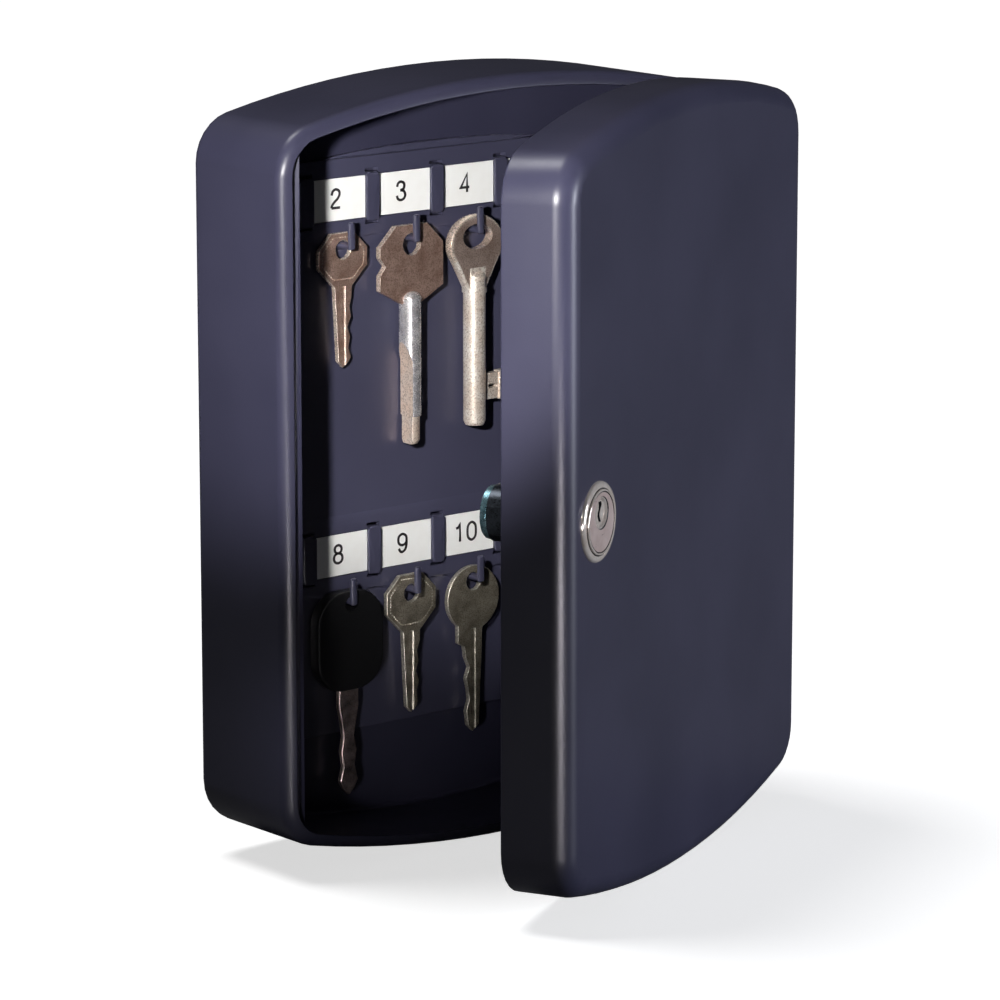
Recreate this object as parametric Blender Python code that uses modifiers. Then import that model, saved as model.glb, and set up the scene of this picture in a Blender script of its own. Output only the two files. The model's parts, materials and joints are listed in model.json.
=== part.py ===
# Wall key cabinet: an arched moulded case, a hinged door with a cam lock,
# a hook panel with twelve numbered cards, and six keys hanging on their hooks.
# The back of the case lies in the plane y = 0, the door faces -Y and +Z is up.

import math

import bmesh
import bpy
from mathutils import Matrix, Vector

mm = 0.001

# Case
case_width = 228 * mm
case_height = 300 * mm
crown_rise = 15 * mm
corner_radius = 19 * mm
case_depth = 56 * mm
case_wall = 2.4 * mm
case_back_radius = 4 * mm
case_rim_radius = 2 * mm

# Rail inside the free side of the case, which the lock cam turns behind
rail_setback = 2 * mm
rail_width = 7.6 * mm
rail_thickness = 2.2 * mm
rail_leg = 8.4 * mm

# Wall fixings: two keyholes at the top, two round holes at the bottom
fixing_side_distance = 29 * mm
fixing_end_distance = 24 * mm
fixing_shank_radius = 2.6 * mm
fixing_head_radius = 4.4 * mm
keyhole_slot = 5.5 * mm

# Door
door_depth = 28 * mm
door_wall = 2.4 * mm
door_edge_radius = 8 * mm
door_rim_radius = 1 * mm
parting_gap = 1 * mm
door_open_angle = math.radians(25.6)

# Door ribs
rib_thickness = 1.6 * mm
rib_depth = 7 * mm
rib_end_distance = 54 * mm

# Hinges
hinge_inset = 1 * mm
hinge_end_distance = 65 * mm
knuckle_radius = 2.9 * mm
knuckle_gap = 0.4 * mm
case_knuckle = 12 * mm
door_knuckle = 18 * mm
pin_radius = 1.2 * mm
pin_head_radius = 2.2 * mm
pin_head_thickness = 1 * mm

# Lock
lock_edge_distance = 24 * mm
lock_height = 2 * mm
bezel_radius = 15.1 * mm
bezel_thickness = 1.2 * mm
bezel_round = 0.9 * mm
lip_radius = 12.2 * mm
lip_round = 0.75 * mm
lip_standout = 0.55 * mm
face_radius = 11.1 * mm
face_standout = 0.35 * mm
housing_radius = 10.7 * mm
housing_flat = 9.9 * mm
plug_radius = 6 * mm
plug_offset = 3.4 * mm
plug_recess = 0.3 * mm
keyway_width = 1.2 * mm
keyway_depth = 9 * mm
washer_radius = 13.6 * mm
washer_thickness = 0.8 * mm
nut_across_flats = 26 * mm
nut_thickness = 4 * mm
tail_radius = 3.8 * mm
tail_flat = 2.8 * mm
cam_radius = 10 * mm
cam_thickness = 2.6 * mm
cam_rail_gap = 0.7 * mm
cam_overlap = 3.5 * mm
cam_width = 12 * mm
screw_radius = 1.7 * mm
screw_length = 9 * mm
screw_head_radius = 3.7 * mm
screw_head_thickness = 2.1 * mm

# Hook panel
panel_side_gap = 3.6 * mm
panel_top_distance = 33.8 * mm
panel_bottom_distance = 38.5 * mm
panel_crest = 3.2 * mm
panel_crest_width = 117 * mm
panel_corner_radius = 5 * mm
panel_thickness = 2 * mm
strip_thickness = 1.2 * mm
strip_above_card = 7.4 * mm
strip_below_card = 11.4 * mm
scallop_rise = 4.5 * mm
scallop_width = 22 * mm

# Numbered cards and the clips between them
column_pitch = 32.2 * mm
panel_end_margin = 9 * mm
lower_row_share = 0.6166
card_height = 16.4 * mm
card_thickness = 0.6 * mm
pocket_depth = 1 * mm
clip_stem = 4.8 * mm
clip_head = 6.4 * mm
clip_head_thickness = 1.2 * mm
clip_corner = 1.6 * mm
slot_height = 1.4 * mm

# Hooks
peg_radius = 1.5 * mm
peg_drop = 9.2 * mm
hook_tip_rise = 7.8 * mm
hook_tip_thickness = 2 * mm
hook_reach = 6.9 * mm
hook_tip_round = 0.6 * mm

# Moulded studs of the case that hold the hook panel
stud_radius = 2 * mm
stud_head_radius = 3.4 * mm
stud_head_thickness = 1.3 * mm
stud_side_distance = 14 * mm
stud_top_distance = 40.2 * mm
stud_bottom_distance = 11.5 * mm

# Flat keys
flat_key_thickness = 2.2 * mm
blade_neck = 1.2 * mm
groove_depth = 0.5 * mm
groove_share = 0.2
tip_share = 0.6
octagon_share = 0.27
cut_depth_share = 0.3
flat_hole_radius = 2.8 * mm

# A key's length, from its hook down, is a share of the room below its row of hooks.
# Its gap is the one between the strip behind it and its middle.
small_key_width = 23.7 * mm
small_key_height = 20 * mm
small_key_rim = 3 * mm
small_key_blade = 8.6 * mm
small_key_length_share = 0.45
small_key_gap = 1.6 * mm
small_key_cut_shares = (0.1, 0.5, 0.2, 0.9, 0.4, 0.8, 0.3)

octagon_key_width = 24.7 * mm
octagon_key_height = 21.9 * mm
octagon_key_rim = 3.9 * mm
octagon_key_blade = 8.6 * mm
octagon_key_length_share = 0.561
octagon_key_gap = 2.8 * mm
octagon_key_cut_shares = (0.0, 0.6, 0.3, 0.8, 0.2, 0.7, 0.5)

round_key_width = 26.6 * mm
round_key_rim = 2.7 * mm
round_key_blade = 9.4 * mm
round_key_shoulder = 3.2 * mm
round_key_shoulder_height = 7 * mm
round_key_length_share = 0.707
round_key_gap = 2.3 * mm
round_key_cut_shares = (0.2, 0.9, 0.3, 0.7, 0.9, 0.4, 0.6)

# Key with a round shank, flattened on one side and thinner at its tip
shank_key_width = 31.5 * mm
shank_key_height = 31 * mm
shank_key_thickness = 2.6 * mm
shank_key_rim = 3.2 * mm
shank_key_hole_radius = 3.4 * mm
shank_key_corner = 8 * mm
shank_key_low_corner_width = 11 * mm
shank_key_low_corner_height = 6 * mm
shank_key_notch_depth = 2.8 * mm
shank_key_notch_height = 7 * mm
shank_key_radius = 4.4 * mm
shank_key_tip_radius = 3.7 * mm
shank_key_taper = 1.6 * mm
shank_key_flat_depth = 2.6 * mm
shank_key_flat_start_share = 0.27
shank_key_flat_ramp_share = 0.14
shank_key_tip_share = 0.2
shank_key_length_share = 0.763
shank_key_gap = 3.6 * mm

# Mortice key with a ring bow and a bit
bit_key_ring_radius = 13.6 * mm
bit_key_hole_radius = 6 * mm
bit_key_rim = 4.2 * mm
bit_key_thickness = 4.4 * mm
bit_key_ring_edge = 1.3 * mm
bit_key_neck = 3 * mm
bit_key_radius = 4.5 * mm
bit_key_collar_radius = 5 * mm
bit_key_collar_height = 1.8 * mm
bit_key_taper = 1.6 * mm
bit_reach = 14.3 * mm
bit_height = 10.5 * mm
bit_thickness = 2.6 * mm
bit_rise = 9.5 * mm
bit_strip_width = 2.8 * mm
bit_strip_standout = 0.5 * mm
bit_slot = 1.6 * mm
bit_key_length_share = 0.729
bit_key_gap = 4.1 * mm

# Car key: a moulded head with a blade in it
car_key_width = 32.7 * mm
car_key_height = 40.1 * mm
car_key_thickness = 6 * mm
car_key_rim = 2.2 * mm
car_key_corner = 13 * mm
car_key_edge = 1.2 * mm
car_key_hole_radius = 3 * mm
car_key_blade = 9.8 * mm
car_key_blade_thickness = 2.2 * mm
car_key_tang = 12 * mm
car_key_cut_depth_share = 0.25
car_key_length_share = 0.873
car_key_gap = 3.45 * mm
car_key_cut_shares = (0.0, 0.5, 0.9, 0.4, 0.8, 0.2)

# Fits
clearance = 0.3 * mm
overrun = 2 * mm
bury = 1 * mm

# Facets
arch_steps = 16
corner_steps = 6
fine_segments = 40
round_segments = 28
small_segments = 12

half_width = case_width / 2
half_height = case_height / 2
case_front = -case_depth
door_back = case_front - parting_gap
door_front = door_back - door_depth
hinge_x = half_width - hinge_inset
hinge_y = case_front - parting_gap / 2
lock_x = -half_width + lock_edge_distance
plug_z = lock_height + plug_offset
rail_inner_x = -half_width + case_wall + rail_width
rail_back = case_front + rail_setback + rail_leg
housing_end = rail_back + cam_rail_gap - clearance
housing_length = housing_end - door_front
cam_reach = lock_x - rail_inner_x + cam_overlap

panel_half_width = half_width - case_wall - panel_side_gap
panel_top = half_height - panel_top_distance
panel_bottom = panel_bottom_distance - half_height
panel_back = -case_wall - clearance
panel_front = panel_back - panel_thickness
strip_front = panel_front - strip_thickness
columns = int(2 * (panel_half_width - panel_end_margin) / column_pitch)
upper_card_top = panel_top - strip_above_card
lower_card_top = upper_card_top - lower_row_share * (panel_top - panel_bottom)
card_rows = (upper_card_top, lower_card_top)
stud_x = panel_half_width - stud_side_distance
stud_rows = (panel_top - stud_top_distance, panel_bottom + stud_bottom_distance)

hook_tip_back = strip_front - hook_reach
hook_rows = tuple(card_top - card_height - peg_drop for card_top in card_rows)
room_below_hooks = (hook_rows[0] - lower_card_top - strip_above_card,
                    hook_rows[1] + half_height - case_wall)
hole_top = peg_radius + clearance

front_facing = Matrix.Rotation(math.radians(90), 4, "X")


# Scene and helpers

def start_empty_scene():
    for obj in list(bpy.data.objects):
        bpy.data.objects.remove(obj, do_unlink=True)
    names = ("key_cabinet", "cutters")
    made = []
    for name in names:
        collection = bpy.data.collections.new(name)
        bpy.context.scene.collection.children.link(collection)
        made.append(collection)
    return made


part_collection, cutter_collection = start_empty_scene()


def make_material(name, colour, roughness, metallic=0.0):
    material = bpy.data.materials.new(name)
    material.use_nodes = True
    shader = material.node_tree.nodes["Principled BSDF"]
    shader.inputs["Base Color"].default_value = (*colour, 1.0)
    shader.inputs["Roughness"].default_value = roughness
    shader.inputs["Metallic"].default_value = metallic
    return material


def add_object(name, mesh):
    obj = bpy.data.objects.new(name, mesh)
    cutter_collection.objects.link(obj)
    obj.hide_render = True
    obj.display_type = "WIRE"
    return obj


def object_from_bmesh(name, bm):
    bmesh.ops.recalc_face_normals(bm, faces=bm.faces)
    mesh = bpy.data.meshes.new(name)
    bm.to_mesh(mesh)
    bm.free()
    return add_object(name, mesh)


def box(name, low, high):
    low, high = Vector(low), Vector(high)
    size = high - low
    bm = bmesh.new()
    bmesh.ops.create_cube(bm, size=1)
    bmesh.ops.scale(bm, vec=size, verts=bm.verts)
    bmesh.ops.translate(bm, vec=(low + high) / 2, verts=bm.verts)
    return object_from_bmesh(name, bm)


def cylinder(name, start, end, radius, segments=round_segments, end_radius=None):
    start, end = Vector(start), Vector(end)
    along = end - start
    end_radius = radius if end_radius is None else end_radius
    bm = bmesh.new()
    bmesh.ops.create_cone(bm, cap_ends=True, segments=segments, radius1=radius,
                          radius2=end_radius, depth=along.length)
    turn = along.to_track_quat("Z", "Y").to_matrix().to_4x4()
    bmesh.ops.transform(bm, matrix=Matrix.Translation((start + end) / 2) @ turn, verts=bm.verts)
    return object_from_bmesh(name, bm)


def arc(centre, radius, start, end, steps):
    angles = [start + (end - start) * i / steps for i in range(steps + 1)]
    return [(centre[0] + radius * math.cos(a), centre[1] + radius * math.sin(a)) for a in angles]


def circle(centre, radius, segments):
    return arc(centre, radius, 0, 2 * math.pi, segments)[:-1]


def baked_mesh(obj):
    depsgraph = bpy.context.evaluated_depsgraph_get()
    mesh = bpy.data.meshes.new_from_object(obj.evaluated_get(depsgraph))
    bm = bmesh.new()
    bm.from_mesh(mesh)
    bmesh.ops.remove_doubles(bm, verts=bm.verts, dist=clearance / 100)
    bmesh.ops.dissolve_degenerate(bm, edges=bm.edges, dist=clearance / 100)
    bm.to_mesh(mesh)
    bm.free()
    return mesh


def bake(obj):
    mesh = baked_mesh(obj)
    obj.modifiers.clear()
    obj.data = mesh
    return obj


# A flat outline, with holes, made as a filled curve of the given thickness.
# Its plane is set by the matrix, and start and end count along the plane's normal.
def plate(name, loops, start, end, plane):
    curve = bpy.data.curves.new(name, "CURVE")
    curve.dimensions = "2D"
    curve.fill_mode = "BOTH"
    curve.extrude = abs(end - start) / 2
    for loop in loops:
        spline = curve.splines.new("POLY")
        spline.points.add(len(loop) - 1)
        for point, place in zip(spline.points, loop):
            point.co = (*place, 0, 1)
        spline.use_cyclic_u = True
    source = add_object(name + "_outline", curve)
    mesh = baked_mesh(source)
    mesh.transform(plane @ Matrix.Translation((0, 0, (start + end) / 2)))
    bpy.data.objects.remove(source, do_unlink=True)
    return add_object(name, mesh)


# A turned shape: its profile of radius and height runs from the axis at the top,
# out and down its outer side, and back to the axis.
def turned(name, profile, segments, place):
    mesh = bpy.data.meshes.new(name)
    edges = [(i, i + 1) for i in range(len(profile) - 1)]
    mesh.from_pydata([(radius, 0, height) for radius, height in profile], edges, [])
    obj = add_object(name, mesh)
    screw = obj.modifiers.new("Turn", "SCREW")
    screw.axis = "Z"
    screw.angle = 2 * math.pi
    screw.steps = segments
    screw.render_steps = segments
    screw.use_merge_vertices = True
    screw.merge_threshold = clearance / 100
    bake(obj)
    obj.data.transform(place)
    return obj


def combine(target, tools, operation):
    for tool in tools:
        step = target.modifiers.new(operation.title(), "BOOLEAN")
        step.operation = operation
        step.solver = "EXACT"
        step.object = tool
    bake(target)
    for tool in tools:
        bpy.data.objects.remove(tool, do_unlink=True)
    return target


def unite(target, tools):
    return combine(target, tools, "UNION")


def cut(target, tools):
    return combine(target, tools, "DIFFERENCE")


def keep_inside(target, solid):
    return combine(target, [solid], "INTERSECT")


def round_edges(obj, wanted, radius, segments):
    bm = bmesh.new()
    bm.from_mesh(obj.data)
    bm.normal_update()
    edges = [edge for edge in bm.edges if wanted(edge)]
    bmesh.ops.bevel(bm, geom=edges, offset=radius, offset_type="OFFSET", segments=segments,
                    profile=0.5, affect="EDGES")
    bm.to_mesh(obj.data)
    bm.free()
    return obj


def runs_along(axis):
    def test(edge):
        return abs((edge.verts[0].co - edge.verts[1].co).normalized()[axis]) > 0.99
    return test


def is_sharp(edge):
    return len(edge.link_faces) == 2 and edge.calc_face_angle() > math.radians(60)


# A finished piece goes into the part's collection with its material. One that moves
# hangs on its pivot: its mesh is moved so that its origin lies on the joint's axis.
def finish(obj, name, material, pivot=None, pivot_place=(0, 0, 0)):
    obj.name = name
    obj.data.name = name
    obj.hide_render = False
    obj.display_type = "TEXTURED"
    cutter_collection.objects.unlink(obj)
    part_collection.objects.link(obj)
    obj.data.materials.clear()
    obj.data.materials.append(material)
    obj.data.shade_smooth()
    obj.data.set_sharp_from_angle(angle=math.radians(35))
    if pivot:
        obj.data.transform(Matrix.Translation(-Vector(pivot_place)))
        obj.parent = pivot
    return obj


def make_pivot(name, place, parent=None):
    pivot = bpy.data.objects.new(name, None)
    part_collection.objects.link(pivot)
    pivot.location = place
    pivot.parent = parent
    return pivot


# Shared outline of case and door: two crowns joined to the sides by rounded corners
def arched_outline(inset=0.0):
    crown_radius = (half_width ** 2 + crown_rise ** 2) / (2 * crown_rise)
    crown_centre = half_height - crown_radius
    corner_x = half_width - corner_radius
    corner_z = crown_centre + math.sqrt((crown_radius - corner_radius) ** 2 - corner_x ** 2)
    meeting = math.atan2(corner_z - crown_centre, corner_x)
    top = arc((0, crown_centre), crown_radius - inset, math.pi - meeting, meeting, arch_steps)
    right = arc((corner_x, corner_z), corner_radius - inset, meeting, 0, corner_steps)
    left = [(-x, z) for x, z in reversed(right)]
    upper = left[:-1] + top + right[1:]
    lower = [(x, -z) for x, z in reversed(upper)]
    return upper + lower


def arched_block(name, inset, back, front):
    return plate(name, [arched_outline(inset)], -back, -front, front_facing)


# An open moulded shell: a cap and its drawn side, rounded, then thickened inwards
def arched_shell(name, closed_y, open_y, wall, edge_radius, edge_segments, rim_radius):
    bm = bmesh.new()
    cap = bm.faces.new([bm.verts.new((x, closed_y, z)) for x, z in arched_outline()])
    drawn = bmesh.ops.extrude_edge_only(bm, edges=cap.edges[:])
    rim = [item for item in drawn["geom"] if isinstance(item, bmesh.types.BMVert)]
    bmesh.ops.translate(bm, vec=(0, open_y - closed_y, 0), verts=rim)
    bmesh.ops.recalc_face_normals(bm, faces=bm.faces)
    cap.normal_update()
    if cap.normal.y * (closed_y - open_y) < 0:
        bmesh.ops.reverse_faces(bm, faces=bm.faces)
    bmesh.ops.bevel(bm, geom=cap.edges[:], offset=edge_radius, offset_type="OFFSET",
                    segments=edge_segments, profile=0.5, affect="EDGES")
    mesh = bpy.data.meshes.new(name)
    bm.to_mesh(mesh)
    bm.free()
    shell = add_object(name, mesh)
    thicken = shell.modifiers.new("Wall", "SOLIDIFY")
    thicken.thickness = wall
    thicken.offset = -1
    thicken.use_even_offset = True
    bake(shell)

    def outer_rim(edge):
        middle = (edge.verts[0].co + edge.verts[1].co) / 2
        on_rim = all(abs(vert.co.y - open_y) < clearance / 10 for vert in edge.verts)
        outward = any(face.normal.x * middle.x + face.normal.z * middle.z > middle.length / 10
                      for face in edge.link_faces)
        return on_rim and outward and is_sharp(edge)

    return round_edges(shell, outer_rim, rim_radius, 3)


# Hinges

def knuckle_spans(centre):
    half_door = door_knuckle / 2
    inner = half_door + knuckle_gap
    outer = inner + case_knuckle
    door_span = (centre - half_door, centre + half_door)
    case_spans = ((centre - outer, centre - inner), (centre + inner, centre + outer))
    return door_span, case_spans


def hinge_centres():
    return (half_height - hinge_end_distance, hinge_end_distance - half_height)


def hinge_cylinder(name, span, radius, extra=0.0, segments=round_segments):
    start = (hinge_x, hinge_y, span[0] - extra)
    end = (hinge_x, hinge_y, span[1] + extra)
    return cylinder(name, start, end, radius, segments)


def fit_knuckles(shell, own_spans, other_spans):
    reliefs = [hinge_cylinder("relief", span, knuckle_radius + knuckle_gap, knuckle_gap)
               for span in other_spans]
    cut(shell, reliefs)
    unite(shell, [hinge_cylinder("knuckle", span, knuckle_radius) for span in own_spans])
    bores = [hinge_cylinder("bore", span, pin_radius + clearance, overrun, small_segments)
             for span in own_spans]
    return cut(shell, bores)


# Case

def catch_rail():
    buried_x = -half_width + case_wall - bury
    leg_x = rail_inner_x - rail_thickness
    front = case_front + rail_setback
    back = front + rail_thickness
    section = [(buried_x, front), (rail_inner_x, front), (rail_inner_x, rail_back),
               (leg_x, rail_back), (leg_x, back), (buried_x, back)]
    rail = plate("rail", [section], -half_height, half_height, Matrix.Identity(4))
    return keep_inside(rail, arched_block("rail_limit", case_wall - bury, 0, case_front))


def panel_studs():
    neck_end = panel_front - clearance
    studs = []
    for x in (-stud_x, stud_x):
        for z in stud_rows:
            neck = cylinder("stud", (x, -case_wall + bury, z), (x, neck_end - bury / 2, z),
                            stud_radius, small_segments)
            head = cylinder("stud_head", (x, neck_end, z), (x, neck_end - stud_head_thickness, z),
                            stud_head_radius, small_segments, stud_radius)
            studs.append(unite(neck, [head]))
    return studs


def wall_fixings():
    tools = []
    for side in (-1, 1):
        x = side * (half_width - fixing_side_distance)
        high = half_height - fixing_end_distance
        low = -high
        front, back = -case_wall - overrun, overrun
        tools.append(cylinder("fixing", (x, front, low), (x, back, low), fixing_shank_radius, small_segments))
        wide = cylinder("keyhole", (x, front, high - keyhole_slot), (x, back, high - keyhole_slot),
                        fixing_head_radius, small_segments)
        slot = box("keyhole_slot", (x - fixing_shank_radius, front, high - keyhole_slot),
                   (x + fixing_shank_radius, back, high))
        end = cylinder("keyhole_end", (x, front, high), (x, back, high), fixing_shank_radius, small_segments)
        tools.append(unite(wide, [slot, end]))
    return tools


def make_case(material):
    shell = arched_shell("body_shell", 0, case_front, case_wall, case_back_radius, 4, case_rim_radius)
    own, other = [], []
    for centre in hinge_centres():
        door_span, case_spans = knuckle_spans(centre)
        own.extend(case_spans)
        other.append(door_span)
    fit_knuckles(shell, own, other)
    unite(shell, [catch_rail(), *panel_studs()])
    cut(shell, [*wall_fixings(), *pin_head_seats()])
    return finish(shell, "body_shell", material)


# The pins drop in from above, and their heads lie flush in the top knuckles
def pin_head_seats():
    seats = []
    for centre in hinge_centres():
        top = knuckle_spans(centre)[1][1][1]
        seat = (top - pin_head_thickness - clearance, top + overrun)
        seats.append(hinge_cylinder("pin_seat", seat, pin_head_radius + clearance))
    return seats


def make_hinge_pins(material):
    for name, centre in zip(("hinge_pin_upper", "hinge_pin_lower"), hinge_centres()):
        case_spans = knuckle_spans(centre)[1]
        bottom, top = case_spans[0][0], case_spans[1][1]
        pin = hinge_cylinder(name, (bottom, top - pin_head_thickness / 2), pin_radius, 0, small_segments)
        head = hinge_cylinder("pin_head", (top - pin_head_thickness, top), pin_head_radius, 0, small_segments)
        finish(unite(pin, [head]), name, material)


# Hook panel

def column_centres():
    return [(i - (columns - 1) / 2) * column_pitch for i in range(columns)]


def clip_centres():
    return [(i - columns / 2) * column_pitch for i in range(columns + 1)]


def panel_outline():
    crest_half = panel_crest_width / 2
    crest_radius = (crest_half ** 2 + panel_crest ** 2) / (2 * panel_crest)
    crest_angle = math.asin(crest_half / crest_radius)
    crest_centre = (0, panel_top + panel_crest - crest_radius)
    quarter = math.pi / 2
    crest = arc(crest_centre, crest_radius, quarter + crest_angle, quarter - crest_angle, arch_steps)
    x, r = panel_half_width - panel_corner_radius, panel_corner_radius
    corners = ((x, panel_top - r, quarter, 0), (x, panel_bottom + r, 0, -quarter),
               (-x, panel_bottom + r, -quarter, -2 * quarter), (-x, panel_top - r, 2 * quarter, quarter))
    outline = list(crest)
    for cx, cz, start, end in corners:
        outline.extend(arc((cx, cz), r, start, end, corner_steps))
    return outline


def raised_strip(card_top):
    half = panel_half_width - panel_corner_radius
    bottom = card_top - card_height - strip_below_card
    strip = box("strip", (-half, strip_front, bottom),
                (half, panel_front + bury, card_top + strip_above_card))
    half_chord = scallop_width / 2
    radius = (half_chord ** 2 + scallop_rise ** 2) / (2 * scallop_rise)
    centre_z = bottom + scallop_rise - radius
    scallops = [cylinder("scallop", (x, strip_front - overrun, centre_z),
                         (x, panel_front + overrun, centre_z), radius, fine_segments)
                for x in clip_centres()]
    return cut(strip, scallops)


def card_pocket(card_top):
    half = columns * column_pitch / 2
    low = (-half, strip_front - overrun, card_top - card_height - clearance)
    high = (half, strip_front + pocket_depth, card_top + clearance)
    return box("pocket", low, high)


def card_clip(x, card_top):
    floor = strip_front + pocket_depth
    card_front = floor - clearance - card_thickness
    head_back = card_front - clearance
    head_front = head_back - clip_head_thickness
    bottom, top = card_top - card_height - clearance, card_top + clearance
    stem = box("clip_stem", (x - clip_stem / 2, head_back - bury / 2, bottom - bury),
               (x + clip_stem / 2, floor + bury / 2, top + bury))
    head = box("clip_head", (x - clip_head / 2, head_front, bottom - bury),
               (x + clip_head / 2, head_back, top + bury))
    round_edges(head, runs_along(1), clip_corner, 2)
    return unite(stem, [head])


def clip_slots(card_top):
    tools = []
    half = clip_head / 2
    for x in clip_centres():
        for low in (card_top + clearance + bury, card_top - card_height - clearance - bury - slot_height):
            tools.append(box("clip_slot", (x - half, strip_front - overrun, low),
                             (x + half, panel_back + overrun, low + slot_height)))
    return tools


def hook(x, axis_z):
    tip_front = hook_tip_back - hook_tip_thickness
    peg = cylinder("peg", (x, strip_front + bury, axis_z),
                   (x, hook_tip_back - bury, axis_z), peg_radius, small_segments)
    tip = box("tip", (x - peg_radius, tip_front, axis_z - peg_radius),
              (x + peg_radius, hook_tip_back, axis_z + peg_radius + hook_tip_rise))
    round_edges(tip, is_sharp, hook_tip_round, 1)
    return unite(peg, [tip])


def make_hook_panel(material):
    stud_holes = [circle((x, z), stud_radius + clearance, small_segments)
                  for x in (-stud_x, stud_x) for z in stud_rows]
    panel = plate("hook_panel", [panel_outline(), *stud_holes], -panel_back, -panel_front, front_facing)
    for card_top, axis_z in zip(card_rows, hook_rows):
        unite(panel, [raised_strip(card_top)])
        cut(panel, [card_pocket(card_top)])
        unite(panel, [card_clip(x, card_top) for x in clip_centres()])
        cut(panel, clip_slots(card_top))
        unite(panel, [hook(x, axis_z) for x in column_centres()])
    return finish(panel, "hook_panel", material)


def make_cards(material):
    half = (column_pitch - clip_stem) / 2 - clearance
    back = strip_front + pocket_depth - clearance
    number = 0
    for card_top in card_rows:
        for x in column_centres():
            number += 1
            card = box("card", (x - half, back - card_thickness, card_top - card_height),
                       (x + half, back, card_top))
            finish(card, f"label_card_{number}", material)


# Door

def housing_hole():
    low = (lock_x - housing_flat - clearance, door_front - overrun, lock_height - housing_radius - overrun)
    high = (lock_x + housing_flat + clearance, door_front + door_wall + overrun,
            lock_height + housing_radius + overrun)
    hole = cylinder("housing_hole", (lock_x, door_front - overrun, lock_height),
                    (lock_x, door_front + door_wall + overrun, lock_height), housing_radius + clearance)
    return keep_inside(hole, box("hole_flats", low, high))


# The ribs end inside the thickness of the door's wall, along its rounded edge
def door_ribs():
    mid_wall = door_wall / 2
    front = door_front + mid_wall
    limit = arched_block("rib_limit", mid_wall, door_back, front)
    round_edges(limit, lambda edge: is_sharp(edge) and max(vert.co.y for vert in edge.verts) < front + mid_wall,
                door_edge_radius - mid_wall, 4)
    bars = [box("rib", (-half_width, front - overrun, z - rib_thickness / 2),
                (half_width, door_front + door_wall + rib_depth, z + rib_thickness / 2))
            for z in (rib_end_distance - half_height, half_height - rib_end_distance)]
    cut_limit = unite(bars[0], bars[1:])
    return [keep_inside(cut_limit, limit)]


def make_door(material, pivot, pivot_place):
    shell = arched_shell("door_shell", door_front, door_back, door_wall, door_edge_radius, 6, door_rim_radius)
    own, other = [], []
    for centre in hinge_centres():
        door_span, case_spans = knuckle_spans(centre)
        own.append(door_span)
        other.extend(case_spans)
    fit_knuckles(shell, own, other)
    unite(shell, door_ribs())
    cut(shell, [housing_hole()])
    return finish(shell, "door_shell", material, pivot, pivot_place)


# Lock

def bezel_profile():
    seat = clearance
    ring_top = seat + bezel_thickness
    face = ring_top + face_standout
    quarter = math.pi / 2
    edge = arc((bezel_radius - bezel_round, ring_top - bezel_round), bezel_round, 2 * quarter, 0, 5)
    lip = arc((lip_radius, ring_top + lip_standout - lip_round), lip_round, 2 * quarter, 0, 5)
    return [(0, face), (face_radius - bezel_round / 3, face), *lip, *edge,
            (bezel_radius, seat), (housing_radius, seat), (housing_radius, -housing_length),
            (0, -housing_length)]


def make_housing(material, pivot, pivot_place):
    place = Matrix.Translation((lock_x, door_front, lock_height)) @ front_facing
    housing = turned("lock_housing", bezel_profile(), fine_segments, place)
    end = door_front + housing_length
    flats = []
    for side in (-1, 1):
        near, far = sorted((lock_x + side * housing_flat, lock_x + side * (housing_radius + overrun)))
        flats.append(box("flat", (near, door_front, lock_height - housing_radius - overrun),
                         (far, end + overrun, lock_height + housing_radius + overrun)))
    bore = cylinder("plug_bore", (lock_x, door_front - bezel_thickness - overrun - bury, plug_z),
                    (lock_x, end + overrun, plug_z), plug_radius + clearance)
    cut(housing, [*flats, bore])
    return finish(housing, "lock_housing", material, pivot, pivot_place)


def keyway():
    w = keyway_width
    top, jog, bottom = plug_radius * 0.76, plug_radius * 0.22, -plug_radius * 0.52
    left, shift = -w * 0.9, w * 1.1
    return [(left, top), (left + w, top), (left + w, jog + shift / 2), (left + w + shift, jog - shift / 2),
            (left + w + shift, bottom), (left + shift, bottom), (left + shift, jog - w), (left, jog)]


def make_plug(material, pivot, pivot_place):
    front = door_front - clearance - bezel_thickness - face_standout + plug_recess
    shoulder = door_front + housing_length
    tail_end = shoulder + clearance + cam_thickness - clearance
    plug = cylinder("lock_plug", (lock_x, front, plug_z), (lock_x, shoulder, plug_z), plug_radius)
    tail = cylinder("tail", (lock_x, shoulder - bury, plug_z), (lock_x, tail_end, plug_z), tail_radius)
    sides = box("tail_sides", (lock_x - tail_flat, shoulder - overrun, plug_z - tail_radius - overrun),
                (lock_x + tail_flat, tail_end + overrun, plug_z + tail_radius + overrun))
    unite(plug, [keep_inside(tail, sides)])
    place = Matrix.Translation((lock_x, front, plug_z)) @ front_facing
    slot = plate("keyway", [keyway()], -keyway_depth, overrun, place)
    thread = cylinder("thread", (lock_x, tail_end + overrun, plug_z),
                      (lock_x, tail_end - screw_length - clearance, plug_z),
                      screw_radius + clearance, small_segments)
    cut(plug, [slot, thread])
    return finish(plug, "lock_plug", material, pivot, pivot_place)


def lock_ring(name, start, thickness, radius, segments):
    hole_radius = housing_radius + clearance
    loops = [circle((0, 0), radius, segments), circle((0, 0), hole_radius, round_segments)]
    place = Matrix.Translation((lock_x, door_front, lock_height)) @ front_facing
    return plate(name, loops, -start, -start - thickness, place)


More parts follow.
